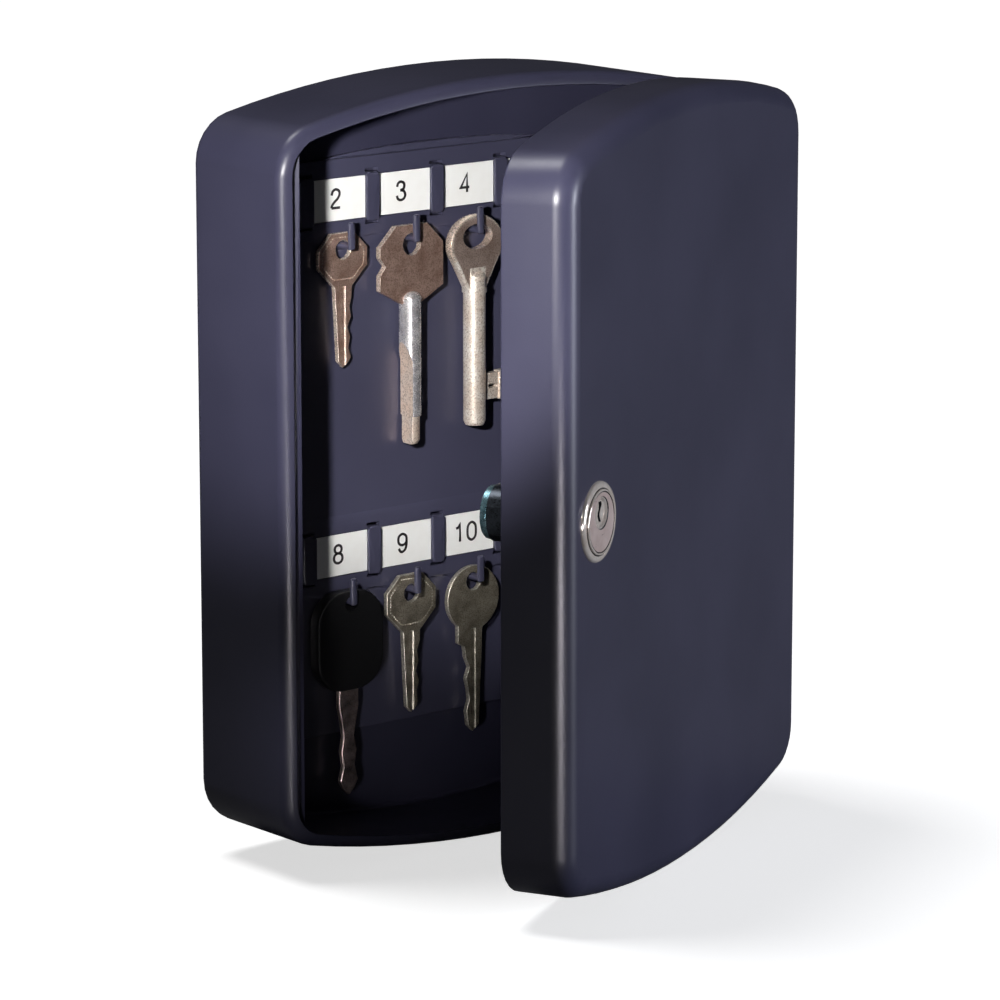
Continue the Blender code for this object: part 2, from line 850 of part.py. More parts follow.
def make_washer_and_nut(material, pivot, pivot_place):
    washer_start = door_wall + clearance
    nut_start = washer_start + washer_thickness + clearance
    nut_radius = nut_across_flats / 2 / math.cos(math.radians(30))
    washer = lock_ring("lock_washer", washer_start, washer_thickness, washer_radius, round_segments)
    finish(washer, "lock_washer", material, pivot, pivot_place)
    nut = lock_ring("lock_nut", nut_start, nut_thickness, nut_radius, 6)
    finish(nut, "lock_nut", material, pivot, pivot_place)


def make_cam(material, pivot, pivot_place):
    start = door_front + housing_length + clearance
    end = start + cam_thickness
    cam = cylinder("lock_cam", (lock_x, start, lock_height), (lock_x, end, lock_height), cam_radius)
    tongue = box("tongue", (lock_x, start, plug_z - cam_width / 2),
                 (lock_x + cam_reach, end, plug_z + cam_width / 2))
    round_edges(tongue, lambda edge: runs_along(1)(edge) and edge.verts[0].co.x > lock_x + bury,
                cam_width / 4, 4)
    unite(cam, [tongue])
    hole = cylinder("tail_hole", (lock_x, start - overrun, plug_z), (lock_x, end + overrun, plug_z),
                    tail_radius + clearance)
    sides = box("hole_sides", (lock_x - tail_flat - clearance, start - 2 * overrun, plug_z - 2 * tail_radius),
                (lock_x + tail_flat + clearance, end + 2 * overrun, plug_z + 2 * tail_radius))
    cut(cam, [keep_inside(hole, sides)])
    return finish(cam, "lock_cam", material, pivot, pivot_place)


def make_cam_screw(material, pivot, pivot_place):
    seat = door_front + housing_length + clearance + cam_thickness + clearance
    head_top = seat + screw_head_thickness
    shank = cylinder("cam_screw", (lock_x, seat - screw_length, plug_z), (lock_x, seat + bury, plug_z),
                     screw_radius, small_segments)
    head = cylinder("head", (lock_x, seat, plug_z), (lock_x, head_top, plug_z),
                    screw_head_radius, round_segments, screw_head_radius * 0.8)
    unite(shank, [head])
    half = screw_head_radius * 0.16
    arms = ((half, screw_head_radius * 0.55), (screw_head_radius * 0.55, half))
    recesses = [box("recess", (lock_x - w, head_top - screw_head_thickness * 0.55, plug_z - h),
                    (lock_x + w, head_top + overrun, plug_z + h)) for w, h in arms]
    cut(shank, recesses)
    return finish(shank, "cam_screw", material, pivot, pivot_place)


# Keys. Each is drawn about the axis of its hook's peg, with its bow's hole resting on it.

def octagon(half, top, bottom, corner, low_corner=None):
    low_x, low_z = low_corner or (corner, corner)
    return [(half - corner, top), (half, top - corner), (half, bottom + low_z), (half - low_x, bottom)]


def mirrored(points):
    return [(-x, z) for x, z in reversed(points)]


# One long side of a blade, from the bow down to the tip, with its cuts
def blade_side(start, end, half, cut_shares=(), cut_depth=0.0):
    step = (start - end) / (len(cut_shares) + 1)
    points = [(half, start)]
    points += [(half - cut_depth * share, start - step * (i + 1)) for i, share in enumerate(cut_shares)]
    points.append((half * tip_share, end + half * tip_share))
    return points


# A flat key: bow and blade in one outline, a hole near the top and a groove down the blade
def flat_key(name, bow, blade, end, half):
    outline = bow[0] + blade[0] + [(0, end)] + mirrored(blade[1]) + mirrored(bow[1])
    hole = circle((0, hole_top - flat_hole_radius), flat_hole_radius, small_segments)
    half_thickness = flat_key_thickness / 2
    key = plate(name, [outline, hole], -half_thickness, half_thickness, front_facing)
    groove = box("groove", (-half * groove_share, -half_thickness - overrun, end - overrun),
                 (half * groove_share, groove_depth - half_thickness, blade[0][0][1]))
    return cut(key, [groove])


def octagonal_key(name, width, height, rim, blade_width, end, cut_shares):
    half = blade_width / 2
    top = hole_top + rim
    bottom = top - height
    bow = octagon(width / 2, top, bottom, width * octagon_share)
    right = blade_side(bottom - blade_neck, end, half, cut_shares, blade_width * cut_depth_share)
    left = blade_side(bottom - blade_neck, end, half)
    return flat_key(name, (bow, bow), (right, left), end, half)


def round_key(name, end):
    radius, half = round_key_width / 2, round_key_blade / 2
    shoulder_half = half + round_key_shoulder
    centre = (0, hole_top + round_key_rim - radius)
    quarter = math.pi / 2
    bow, bow_left = [arc(centre, radius, quarter, math.asin(reach / radius) - quarter, round_segments // 2)
                     for reach in (half, shoulder_half)]
    right = blade_side(bow.pop()[1], end, half)
    shoulder_end = right[0][1] - round_key_shoulder_height
    left = [(shoulder_half, shoulder_end + round_key_shoulder / 2)]
    left += blade_side(shoulder_end, end, half, round_key_cut_shares, round_key_blade * cut_depth_share)
    return flat_key(name, (bow, bow_left[1:]), (right, left), end, half)


# A round shank from its top down to a tapered tip, with a band: a collar or a thinner end
def key_shank(name, radius, top, bottom, taper, band):
    band_radius, band_top, band_bottom = band
    tip_radius = radius if band_bottom > bottom else band_radius
    profile = [(0, top), (radius, top), (radius, band_top), (band_radius, band_top)]
    if band_bottom > bottom:
        profile += [(band_radius, band_bottom), (radius, band_bottom)]
    profile += [(tip_radius, bottom + taper), (tip_radius - taper / 2, bottom), (0, bottom)]
    return turned(name, profile, round_segments, Matrix.Identity(4))


# Its bow is an octagon with a notch in the left side
def shank_key(name, end):
    top = hole_top + shank_key_rim
    bottom = top - shank_key_height
    half = shank_key_width / 2
    low_corner = (shank_key_low_corner_width, shank_key_low_corner_height)
    right = octagon(half, top, bottom, shank_key_corner, low_corner)
    left = mirrored(right)
    middle = (top + bottom) / 2
    notch_half = shank_key_notch_height / 2
    notch = [(-half, middle - notch_half), (shank_key_notch_depth - half, middle),
             (-half, middle + notch_half)]
    hole = circle((0, hole_top - shank_key_hole_radius), shank_key_hole_radius, small_segments)
    half_thickness = shank_key_thickness / 2
    key = plate(name, [right + left[:2] + notch + left[2:], hole], -half_thickness, half_thickness,
                front_facing)
    radius, length = shank_key_radius, bottom - end
    band = (shank_key_tip_radius, end + length * shank_key_tip_share, end)
    unite(key, [key_shank("shank", radius, bottom + radius / 2, end, shank_key_taper, band)])
    outside = -radius - overrun
    floor = shank_key_flat_depth - radius
    flat_top = bottom - length * shank_key_flat_start_share
    flat_floor_top = flat_top - length * shank_key_flat_ramp_share
    section = [(outside, flat_top), (-radius, flat_top), (floor, flat_floor_top),
               (floor, end - overrun), (outside, end - overrun)]
    return cut(key, [plate("flat", [section], outside, -outside, front_facing)])


# Its ring runs out into a neck, and its bit ends in a thicker strip
def bit_key(name, end):
    ring_radius, radius = bit_key_ring_radius, bit_key_radius
    half_thickness = bit_key_thickness / 2
    centre_z = hole_top + bit_key_rim - ring_radius
    ring_bottom = centre_z - ring_radius
    neck_end = ring_bottom - bit_key_neck
    shoulder = math.radians(35)
    ring = arc((0, centre_z), ring_radius, math.pi + shoulder, -shoulder, round_segments)
    outline = ring + [(radius, neck_end), (-radius, neck_end)]
    key = plate(name, [outline], -half_thickness, half_thickness, front_facing)
    round_edges(key, lambda edge: is_sharp(edge) and not runs_along(1)(edge), bit_key_ring_edge, 2)
    hole_z = hole_top - bit_key_hole_radius
    cut(key, [cylinder("hole", (0, -bit_key_thickness, hole_z), (0, bit_key_thickness, hole_z),
                       bit_key_hole_radius)])
    collar_top = neck_end + bit_key_collar_height / 2
    collar = (bit_key_collar_radius, collar_top, collar_top - bit_key_collar_height)
    shank = key_shank("shank", radius, ring_bottom + radius / 2, end, bit_key_taper, collar)
    bit_low = end + bit_rise
    bit_top = bit_low + bit_height
    bit = box("bit", (0, -bit_thickness / 2, bit_low), (bit_reach, bit_thickness / 2, bit_top))
    strip_half = bit_thickness / 2 + bit_strip_standout
    strip_inner = bit_reach - bit_strip_width
    strip = box("bit_strip", (strip_inner, -strip_half, bit_low - bit_strip_standout),
                (bit_reach + bit_strip_standout, strip_half, bit_top + bit_strip_standout))
    unite(key, [shank, bit, strip])
    middle = bit_low + bit_height / 2
    slot = box("bit_slot", (radius + bit_slot, -strip_half - overrun, middle - bit_slot / 2),
               (strip_inner - bit_slot / 2, strip_half + overrun, middle + bit_slot / 2))
    return cut(key, [slot])


def rounded_rectangle(half, top, bottom, radius, steps):
    quarter = math.pi / 2
    x = half - radius
    corners = ((x, top - radius, quarter), (x, bottom + radius, 0),
               (-x, bottom + radius, -quarter), (-x, top - radius, 2 * quarter))
    outline = []
    for cx, cz, start in corners:
        outline.extend(arc((cx, cz), radius, start, start - quarter, steps))
    return outline


def car_key(end):
    half, half_blade = car_key_width / 2, car_key_blade / 2
    half_thickness, half_blade_thickness = car_key_thickness / 2, car_key_blade_thickness / 2
    top = hole_top + car_key_rim
    bottom = top - car_key_height
    head = plate("head", [rounded_rectangle(half, top, bottom, car_key_corner, 8)],
                 -half_thickness, half_thickness, front_facing)
    round_edges(head, is_sharp, car_key_edge, 2)
    hole_z = hole_top - car_key_hole_radius
    hole = cylinder("hole", (0, -car_key_thickness, hole_z), (0, car_key_thickness, hole_z),
                    car_key_hole_radius, small_segments)
    socket_half = (half_blade + clearance, half_blade_thickness + clearance)
    socket = box("socket", (-socket_half[0], -socket_half[1], bottom - overrun),
                 (socket_half[0], socket_half[1], bottom + car_key_tang + clearance))
    cut(head, [hole, socket])
    side = [(half_blade, bottom + car_key_tang)]
    side += blade_side(bottom - bury, end, half_blade, car_key_cut_shares,
                       car_key_blade * car_key_cut_depth_share)
    blade = plate("blade", [side + [(0, end)] + mirrored(side)], -half_blade_thickness,
                  half_blade_thickness, front_facing)
    return head, blade


# The keys hang by row and column, each at its own gap in front of the strip
def hang(obj, name, material, row, column, gap):
    finish(obj, name, material)
    obj.location = (column_centres()[column], strip_front - gap, hook_rows[row])
    return obj


def make_keys(brass, nickel, steel, plastic):
    upper, lower = room_below_hooks
    key = octagonal_key("key_2", small_key_width, small_key_height, small_key_rim, small_key_blade,
                        -upper * small_key_length_share, small_key_cut_shares)
    hang(key, "key_2", brass, 0, 1, small_key_gap)
    hang(shank_key("key_3", -upper * shank_key_length_share), "key_3", nickel, 0, 2, shank_key_gap)
    hang(bit_key("key_4", -upper * bit_key_length_share), "key_4", brass, 0, 3, bit_key_gap)

    head, blade = car_key(-lower * car_key_length_share)
    hang(head, "key_8_head", plastic, 1, 1, car_key_gap)
    hang(blade, "key_8_blade", steel, 1, 1, car_key_gap)
    key = octagonal_key("key_9", octagon_key_width, octagon_key_height, octagon_key_rim, octagon_key_blade,
                        -lower * octagon_key_length_share, octagon_key_cut_shares)
    hang(key, "key_9", nickel, 1, 2, octagon_key_gap)
    hang(round_key("key_10", -lower * round_key_length_share), "key_10", nickel, 1, 3, round_key_gap)


def build_cabinet():
    shell_paint = make_material("case_plastic", (0.055, 0.058, 0.085), 0.42)
    panel_plastic = make_material("panel_plastic", (0.06, 0.063, 0.09), 0.5)
    card_stock = make_material("card", (0.86, 0.87, 0.86), 0.7)
    chrome = make_material("chrome", (0.78, 0.74, 0.7), 0.16, 1.0)
    zinc = make_material("zinc", (0.55, 0.57, 0.58), 0.34, 1.0)
    steel = make_material("steel", (0.58, 0.57, 0.56), 0.3, 1.0)
    brass = make_material("key_brass", (0.42, 0.33, 0.24), 0.36, 1.0)
    nickel = make_material("key_nickel", (0.55, 0.5, 0.44), 0.3, 1.0)
    black = make_material("key_plastic", (0.012, 0.012, 0.013), 0.4)

    make_case(shell_paint)
    make_hook_panel(panel_plastic)
    make_cards(card_stock)
    make_hinge_pins(steel)

    door_place = Vector((hinge_x, hinge_y, 0))
    door_pivot = make_pivot("door_pivot", door_place)
    make_door(shell_paint, door_pivot, door_place)
    make_housing(chrome, door_pivot, door_place)
    make_washer_and_nut(zinc, door_pivot, door_place)

    plug_place = Vector((lock_x, door_front, plug_z))
    plug_pivot = make_pivot("plug_pivot", plug_place - door_place, door_pivot)
    make_plug(chrome, plug_pivot, plug_place)
    make_cam(zinc, plug_pivot, plug_place)
    make_cam_screw(steel, plug_pivot, plug_place)
    door_pivot.rotation_euler.z = door_open_angle

    make_keys(brass, nickel, steel, black)


build_cabinet()
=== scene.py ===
import json
import math

import bmesh
import bpy
from mathutils import Matrix, Vector

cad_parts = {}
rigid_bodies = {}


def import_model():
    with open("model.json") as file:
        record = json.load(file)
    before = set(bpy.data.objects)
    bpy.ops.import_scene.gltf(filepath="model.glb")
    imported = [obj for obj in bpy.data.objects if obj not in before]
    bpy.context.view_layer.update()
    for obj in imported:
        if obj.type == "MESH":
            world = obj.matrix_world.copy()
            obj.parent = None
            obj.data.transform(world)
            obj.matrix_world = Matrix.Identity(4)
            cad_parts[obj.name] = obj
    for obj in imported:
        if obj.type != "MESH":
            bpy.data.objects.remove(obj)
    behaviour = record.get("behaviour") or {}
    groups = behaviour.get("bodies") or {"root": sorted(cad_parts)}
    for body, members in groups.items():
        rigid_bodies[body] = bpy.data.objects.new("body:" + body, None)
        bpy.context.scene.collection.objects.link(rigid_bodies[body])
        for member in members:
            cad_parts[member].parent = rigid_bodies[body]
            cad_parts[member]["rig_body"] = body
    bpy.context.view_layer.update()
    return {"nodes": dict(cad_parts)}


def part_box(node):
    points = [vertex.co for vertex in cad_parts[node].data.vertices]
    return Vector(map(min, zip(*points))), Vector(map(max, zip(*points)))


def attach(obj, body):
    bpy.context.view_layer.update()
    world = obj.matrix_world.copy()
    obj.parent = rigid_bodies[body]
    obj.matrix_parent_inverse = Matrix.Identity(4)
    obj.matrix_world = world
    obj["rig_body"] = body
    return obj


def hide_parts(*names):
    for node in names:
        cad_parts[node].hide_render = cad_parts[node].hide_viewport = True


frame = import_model()
scene = bpy.context.scene
mm = 0.001
print("frame loaded with", len(frame["nodes"]), "pieces")


# Shader maths: an output that can stand in a sum, where each operator adds one Math node
class Wire:
    def __init__(self, finish, socket):
        self.finish = finish
        self.socket = socket

    def maths(self, operation, *values):
        return self.finish.add("ShaderNodeMath", {"operation": operation}, dict(enumerate(values)))

    def __add__(self, other):
        return self.maths("ADD", self, other)

    def __sub__(self, other):
        return self.maths("SUBTRACT", self, other)

    def __rsub__(self, other):
        return self.maths("SUBTRACT", other, self)

    def __mul__(self, other):
        return self.maths("MULTIPLY", self, other)

    __radd__ = __add__
    __rmul__ = __mul__

    # 0 below the level and 1 above it, with a soft step between
    def above(self, level, softness):
        values = {"Value": self, "From Min": level - softness, "From Max": level + softness}
        return self.finish.add("ShaderNodeMapRange", {"interpolation_type": "SMOOTHSTEP"}, values)


# A material and the nodes that make it
class Finish:
    def __init__(self, name, centre=(0, 0, 0), turn=(0, 0, 0)):
        self.material = bpy.data.materials.new(name)
        self.material.use_nodes = True
        self.tree = self.material.node_tree
        self.tree.nodes.clear()
        self.shader = self.tree.nodes.new("ShaderNodeBsdfPrincipled")
        output = self.tree.nodes.new("ShaderNodeOutputMaterial")
        self.tree.links.new(self.shader.outputs[0], output.inputs[0])
        self.object = self.add("ShaderNodeTexCoord", out="Object")
        self.centre, self.turn = Vector(centre), turn
        self.place = self.stretched((1, 1, 1))

    def add(self, kind, settings=None, values=None, out=0):
        node = self.tree.nodes.new(kind)
        for key, value in (settings or {}).items():
            setattr(node, key, value)
        self.feed(node, values or {})
        return Wire(self, node.outputs[out])

    def feed(self, node, values):
        for key, value in values.items():
            if isinstance(value, Wire):
                self.tree.links.new(value.socket, node.inputs[key])
            else:
                node.inputs[key].default_value = value

    def stretched(self, scale):
        shift = tuple(-a * b for a, b in zip(self.centre, scale))
        return self.add("ShaderNodeMapping", None, {"Vector": self.object, "Location": shift,
                                                    "Rotation": self.turn, "Scale": scale})

    def noise(self, size, detail=2.0, place=None, rough=0.5):
        return self.add("ShaderNodeTexNoise", None, {"Vector": place or self.place, "Scale": 1 / size,
                                                     "Detail": detail, "Roughness": rough})

    def mix(self, share, first, second):
        return self.add("ShaderNodeMix", {"data_type": "RGBA"}, {0: share, 6: first, 7: second}, 2)

    def bump(self, height, depth, strength=1.0, under=None):
        values = {"Height": height, "Distance": depth, "Strength": strength}
        if under:
            values["Normal"] = under
        return self.add("ShaderNodeBump", None, values)

    def surface(self, **values):
        self.feed(self.shader, {key.replace("_", " "): value for key, value in values.items()})
        return self.material


def tint(red, green, blue):
    return (red, green, blue, 1.0)


# Finishes

plasticLook = {
    "deep": tint(0.0265, 0.0265, 0.050),
    "pale": tint(0.036, 0.0355, 0.064),
    "fleck": tint(0.060, 0.058, 0.082),
    "roughness": 0.36,
    "sheen level": 0.40,
    "pebble": 0.55 * mm,
    "pebble depth": 0.045 * mm,
    "cloud": 70 * mm,
    "handling": 28 * mm,
    "handling depth": 0.10 * mm,
}


# Moulded plastic: a fine pebbled skin with faint clouds and flecks
def mouldedPlastic(name, look, centre=(0, 0, 0), turn=(0, 0, 0)):
    finish = Finish(name, centre, turn)
    cloud = finish.noise(look["cloud"], 3)
    pebble = finish.noise(look["pebble"], 3, rough=0.6)
    fine = finish.noise(look["pebble"] * 0.4, 1)
    handling = finish.noise(look["handling"], 4, finish.stretched((1, 1, 0.5)), 0.65)
    colour = finish.mix(cloud.above(0.5, 0.25), look["deep"], look["pale"])
    colour = finish.mix(fine.above(0.66, 0.08) * 0.35, colour, look["fleck"])
    roughness = look["roughness"] + (pebble - 0.5) * 0.16 + (handling - 0.5) * 0.10
    skin = finish.bump(pebble, look["pebble depth"], 0.55)
    skin = finish.bump(handling, look["handling depth"], 0.12, skin)
    return finish.surface(Base_Color=colour, Roughness=roughness, Normal=skin,
                          Specular_IOR_Level=look["sheen level"])


cardLook = {
    "paper": tint(0.86, 0.87, 0.85),
    "aged": tint(0.80, 0.795, 0.76),
    "fibre": 0.22 * mm,
    "fibre depth": 0.02 * mm,
    "stain": 9 * mm,
    "edge": 0.08 * mm,
}


def cardPaper(name, look, centre):
    finish = Finish(name, centre)
    fibre = finish.noise(look["fibre"], 2, finish.stretched((1, 1, 2.2)))
    stain = finish.noise(look["stain"], 3)
    colour = finish.mix(stain.above(0.6, 0.25) * 0.6, look["paper"], look["aged"])
    colour = finish.mix(fibre.above(0.7, 0.1) * 0.25, colour, look["aged"])
    return finish.surface(Base_Color=colour, Roughness=0.62 + (fibre - 0.5) * 0.2,
                          Normal=finish.bump(fibre, look["fibre depth"], 0.3), Specular_IOR_Level=0.3)


inkLook = {"deep": tint(0.010, 0.009, 0.010), "pale": tint(0.028, 0.025, 0.026), "patch": 0.5 * mm}


def printInk(name, look):
    finish = Finish(name)
    patch = finish.noise(look["patch"], 2)
    colour = finish.mix(patch.above(0.6, 0.2), look["deep"], look["pale"])
    return finish.surface(Base_Color=colour, Roughness=0.5 + (patch - 0.5) * 0.3)


# Cast or rolled metal: clouds of tarnish, pits, and fine scratches along one axis
def wornMetal(name, look, centre=(0, 0, 0), turn=(0, 0, 0)):
    finish = Finish(name, centre, turn)
    cloud = finish.noise(look["cloud"], 4, rough=0.6)
    speck = finish.noise(look["speck"], 2, rough=0.7)
    scratch = finish.noise(look["scratch"], 2, finish.stretched(look["grain"]))
    colour = finish.mix(cloud.above(0.5, 0.2), look["dark"], look["bright"])
    colour = finish.mix(speck.above(look["speck level"], 0.1) * look["speck share"], colour, look["pit"])
    roughness = look["roughness"] + (cloud - 0.5) * 0.2 + (speck - 0.5) * 0.3
    skin = finish.bump(speck, look["speck depth"], 0.6)
    skin = finish.bump(scratch, look["scratch depth"], 0.5, skin)
    return finish.surface(Base_Color=colour, Metallic=look["metal"], Roughness=roughness, Normal=skin)


bronzeLook = {
    "bright": tint(0.72, 0.50, 0.41), "dark": tint(0.46, 0.29, 0.22), "pit": tint(0.24, 0.13, 0.09),
    "cloud": 7 * mm, "speck": 0.55 * mm, "speck level": 0.56, "speck share": 0.65, "speck depth": 0.05 * mm,
    "scratch": 0.3 * mm, "grain": (1, 1, 0.1), "scratch depth": 0.012 * mm, "roughness": 0.36,
    "metal": 0.78,
}
paleBronzeLook = dict(bronzeLook, bright=tint(0.98, 0.93, 0.85), dark=tint(0.86, 0.74, 0.63),
                      pit=tint(0.36, 0.24, 0.17), speck=0.7 * mm, roughness=0.40, metal=0.6)
steelLook = dict(bronzeLook, bright=tint(0.86, 0.86, 0.87), dark=tint(0.62, 0.62, 0.65),
                 pit=tint(0.22, 0.16, 0.13), speck=0.6 * mm, roughness=0.34, metal=0.7)
nickelLook = dict(bronzeLook, bright=tint(0.50, 0.45, 0.35), dark=tint(0.26, 0.235, 0.18),
                  pit=tint(0.09, 0.075, 0.055), roughness=0.42)
darkSteelLook = dict(steelLook, bright=tint(0.52, 0.42, 0.40), dark=tint(0.16, 0.14, 0.14), metal=0.85)
zincLook = dict(steelLook, bright=tint(0.20, 0.33, 0.37), dark=tint(0.07, 0.15, 0.18),
                pit=tint(0.04, 0.05, 0.06), cloud=4 * mm, roughness=0.3, metal=0.85)
chromeLook = dict(steelLook, bright=tint(0.93, 0.87, 0.81), dark=tint(0.80, 0.70, 0.62),
                  pit=tint(0.60, 0.48, 0.40), speck=1.1 * mm, roughness=0.16, metal=0.62)
chromeLook.update({"speck share": 0.2, "speck depth": 0.006 * mm, "scratch depth": 0.003 * mm})
faceLook = dict(chromeLook, bright=tint(0.60, 0.49, 0.46), dark=tint(0.50, 0.39, 0.36),
                roughness=0.34, metal=0.35)
faceLook.update({"grain": (0.08, 1, 1), "scratch depth": 0.008 * mm})
# Paler metal for the keys' edges and pips: partly wear from handling, partly painted highlight
wearAndSheenEdgeLook = dict(bronzeLook, bright=tint(0.98, 0.86, 0.74), dark=tint(0.84, 0.66, 0.54),
                roughness=0.27, metal=0.7)
wearAndSheenEdgeLook.update({"speck share": 0.3})
# Darker bronze for the bit key's bow: painted shade on a piece of one metal
shadedBitBowLook = dict(bronzeLook, bright=tint(0.74, 0.59, 0.51), dark=tint(0.50, 0.37, 0.30))
nickelWearAndSheenEdgeLook = dict(nickelLook, bright=tint(0.74, 0.70, 0.60), dark=tint(0.46, 0.43, 0.36))
# A near-black zinc that paints shade into the lock's grooves, hole, barrel and keyway
paintedShadeLook = dict(zincLook, bright=tint(0.035, 0.04, 0.05), dark=tint(0.014, 0.016, 0.02))
keyHeadLook = dict(plasticLook, deep=tint(0.005, 0.005, 0.006), pale=tint(0.009, 0.009, 0.010),
                   fleck=tint(0.03, 0.03, 0.03), roughness=0.36, pebble=0.9 * mm)
print("finishes ready")


# Mesh helpers

def addPiece(name, mesh, *materials):
    piece = bpy.data.objects.new(name, mesh)
    scene.collection.objects.link(piece)
    for material in materials:
        mesh.materials.append(material)
    return piece


def fromBmesh(name, shape, *materials):
    mesh = bpy.data.meshes.new(name)
    shape.to_mesh(mesh)
    shape.free()
    return addPiece(name, mesh, *materials)


# The result of a piece's modifiers becomes its mesh
def settle(piece):
    graph = bpy.context.evaluated_depsgraph_get()
    mesh = bpy.data.meshes.new_from_object(piece.evaluated_get(graph), depsgraph=graph)
    piece.modifiers.clear()
    piece.data = mesh
    return piece


def smooth(piece, edge=0.0, creaseAngle=32, segments=2):
    piece.data.shade_smooth()
    piece.data.set_sharp_from_angle(angle=math.radians(creaseAngle))
    if edge:
        bevel = piece.modifiers.new("edge", "BEVEL")
        bevel.width, bevel.segments = edge, segments
        bevel.limit_method, bevel.angle_limit = "ANGLE", math.radians(creaseAngle)
        bevel.miter_outer = "MITER_ARC"
        bevel.use_clamp_overlap = True
        bevel.harden_normals = False
    weighted = piece.modifiers.new("weighted", "WEIGHTED_NORMAL")
    weighted.keep_sharp = True
    return settle(piece)


def standsFor(piece, node):
    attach(piece, frame["nodes"][node]["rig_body"])
    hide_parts(node)
    return piece


mergeGap, flatAngle = 0.002 * mm, math.radians(0.2)


# A merged copy of a solid with smooth shading and softened edges, standing for it
def dressed(node, name, slot, *materials, edge=0.0, part=None, joined=True, reshape=None):
    shape = bmesh.new()
    shape.from_mesh(frame["nodes"][node].data)
    bmesh.ops.remove_doubles(shape, verts=shape.verts, dist=mergeGap)
    if joined:
        bmesh.ops.dissolve_limit(shape, angle_limit=flatAngle, verts=shape.verts, edges=shape.edges)
    if reshape:
        reshape(shape)
    for face in shape.faces:
        face.material_index = part(face.calc_center_median()) if part else 0
    piece = fromBmesh(name, shape, *materials)
    return standsFor(smooth(piece, edge), node)


def centreOf(node):
    low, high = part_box(node)
    return (low + high) / 2


# The door's own place: closed-door coordinates turned about the hinge to where it rests
doorHinge = {"x": 113 * mm, "y": -56.5 * mm, "open": math.radians(25.6)}
hingeMove = Matrix.Translation((doorHinge["x"], doorHinge["y"], 0))
doorPlace = hingeMove @ Matrix.Rotation(doorHinge["open"], 4, "Z") @ hingeMove.inverted()


# Faces between rows of points, all of one length; if closed, the last row meets the first
def lofted(shape, rows, closed=True):
    made = [[shape.verts.new(point) for point in row] for row in rows]
    pairs = list(zip(made, made[1:]))
    if closed:
        pairs.append((made[-1], made[0]))
    for first, second in pairs:
        for i in range(len(first)):
            j = (i + 1) % len(first)
            shape.faces.new((first[i], first[j], second[j], second[i]))
    return made


# Case, door and hook panel

rimLook = {"front": -56 * mm, "radius": 2 * mm, "round": 5 * mm, "lip": 5.4 * mm, "wall": 2.4 * mm,
           "fade": (50 * mm, 104 * mm), "half width": 113.9 * mm, "half height": 131 * mm,
           "outer share": 0.93, "level": 0.03 * mm, "lip share": 0.92, "reach share": 1.12}


# The case's front edge swells into a full round with a lip inside it, and thins out before the hinges
def roundRim(shape):
    start = rimLook["front"] + rimLook["radius"]
    level, (nearEnd, farEnd) = rimLook["level"], rimLook["fade"]
    shape.normal_update()
    ring = []
    for vertex in shape.verts:
        x, y, z = vertex.co
        outwards = vertex.normal.x * x + vertex.normal.z * z > 0
        outer = max(abs(x) / rimLook["half width"], abs(z) / rimLook["half height"]) > rimLook["outer share"]
        if abs(y - start) < level and outwards and outer:
            ring.append((vertex.co.copy(), vertex.normal.copy()))
    moves = []
    for vertex in shape.verts:
        if vertex.co.y > start + level or vertex.co.x > farEnd:
            continue
        flat = Vector((vertex.co.x, start, vertex.co.z))
        root, normal = min(ring, key=lambda item: (item[0] - flat).length_squared)
        gap = (root - flat).length
        if gap > rimLook["wall"] * rimLook["reach share"]:
            continue
        inward = -Vector((normal.x, 0, normal.z)).normalized()
        share = min(1.0, max(0.0, (start - vertex.co.y) / rimLook["radius"]))
        inset = rimLook["round"] * (1 - math.sqrt(1 - share * share))
        if gap > rimLook["wall"] * rimLook["lip share"]:
            inset = rimLook["lip"]
        place = root + inward * inset
        place.y = rimLook["front"] + rimLook["round"] * (1 - share)
        fade = min(1.0, max(0.0, (farEnd - vertex.co.x) / (farEnd - nearEnd)))
        moves.append((vertex, vertex.co.lerp(place, fade * fade * (3 - 2 * fade))))
    for vertex, place in moves:
        vertex.co = place


casePlastic = mouldedPlastic("casePlastic", plasticLook)
doorPlastic = mouldedPlastic("doorPlastic", plasticLook, centreOf("door_shell"), (0, 0, -doorHinge["open"]))
panelLook = dict(plasticLook, deep=tint(0.041, 0.041, 0.072), pale=tint(0.054, 0.054, 0.092), roughness=0.40)
panelPlastic = mouldedPlastic("panelPlastic", panelLook)
dressed("body_shell", "caseBody", "case_plastic", casePlastic, joined=False, reshape=roundRim)
dressed("door_shell", "doorTray", "case_plastic", doorPlastic, joined=False)
dressed("hook_panel", "hookBoard", "panel_plastic", panelPlastic, joined=False)
print("case, door and hook panel dressed")


# Number cards

numberLook = {"height": 7.2 * mm, "wide": 1.12, "pitch": 0.80, "stroke": 0.145, "shift": -1.3 * mm,
              "raise": 0.4 * mm, "proud": 0.03 * mm, "corner": 0.55}
ink = printInk("numberInk", inkLook)

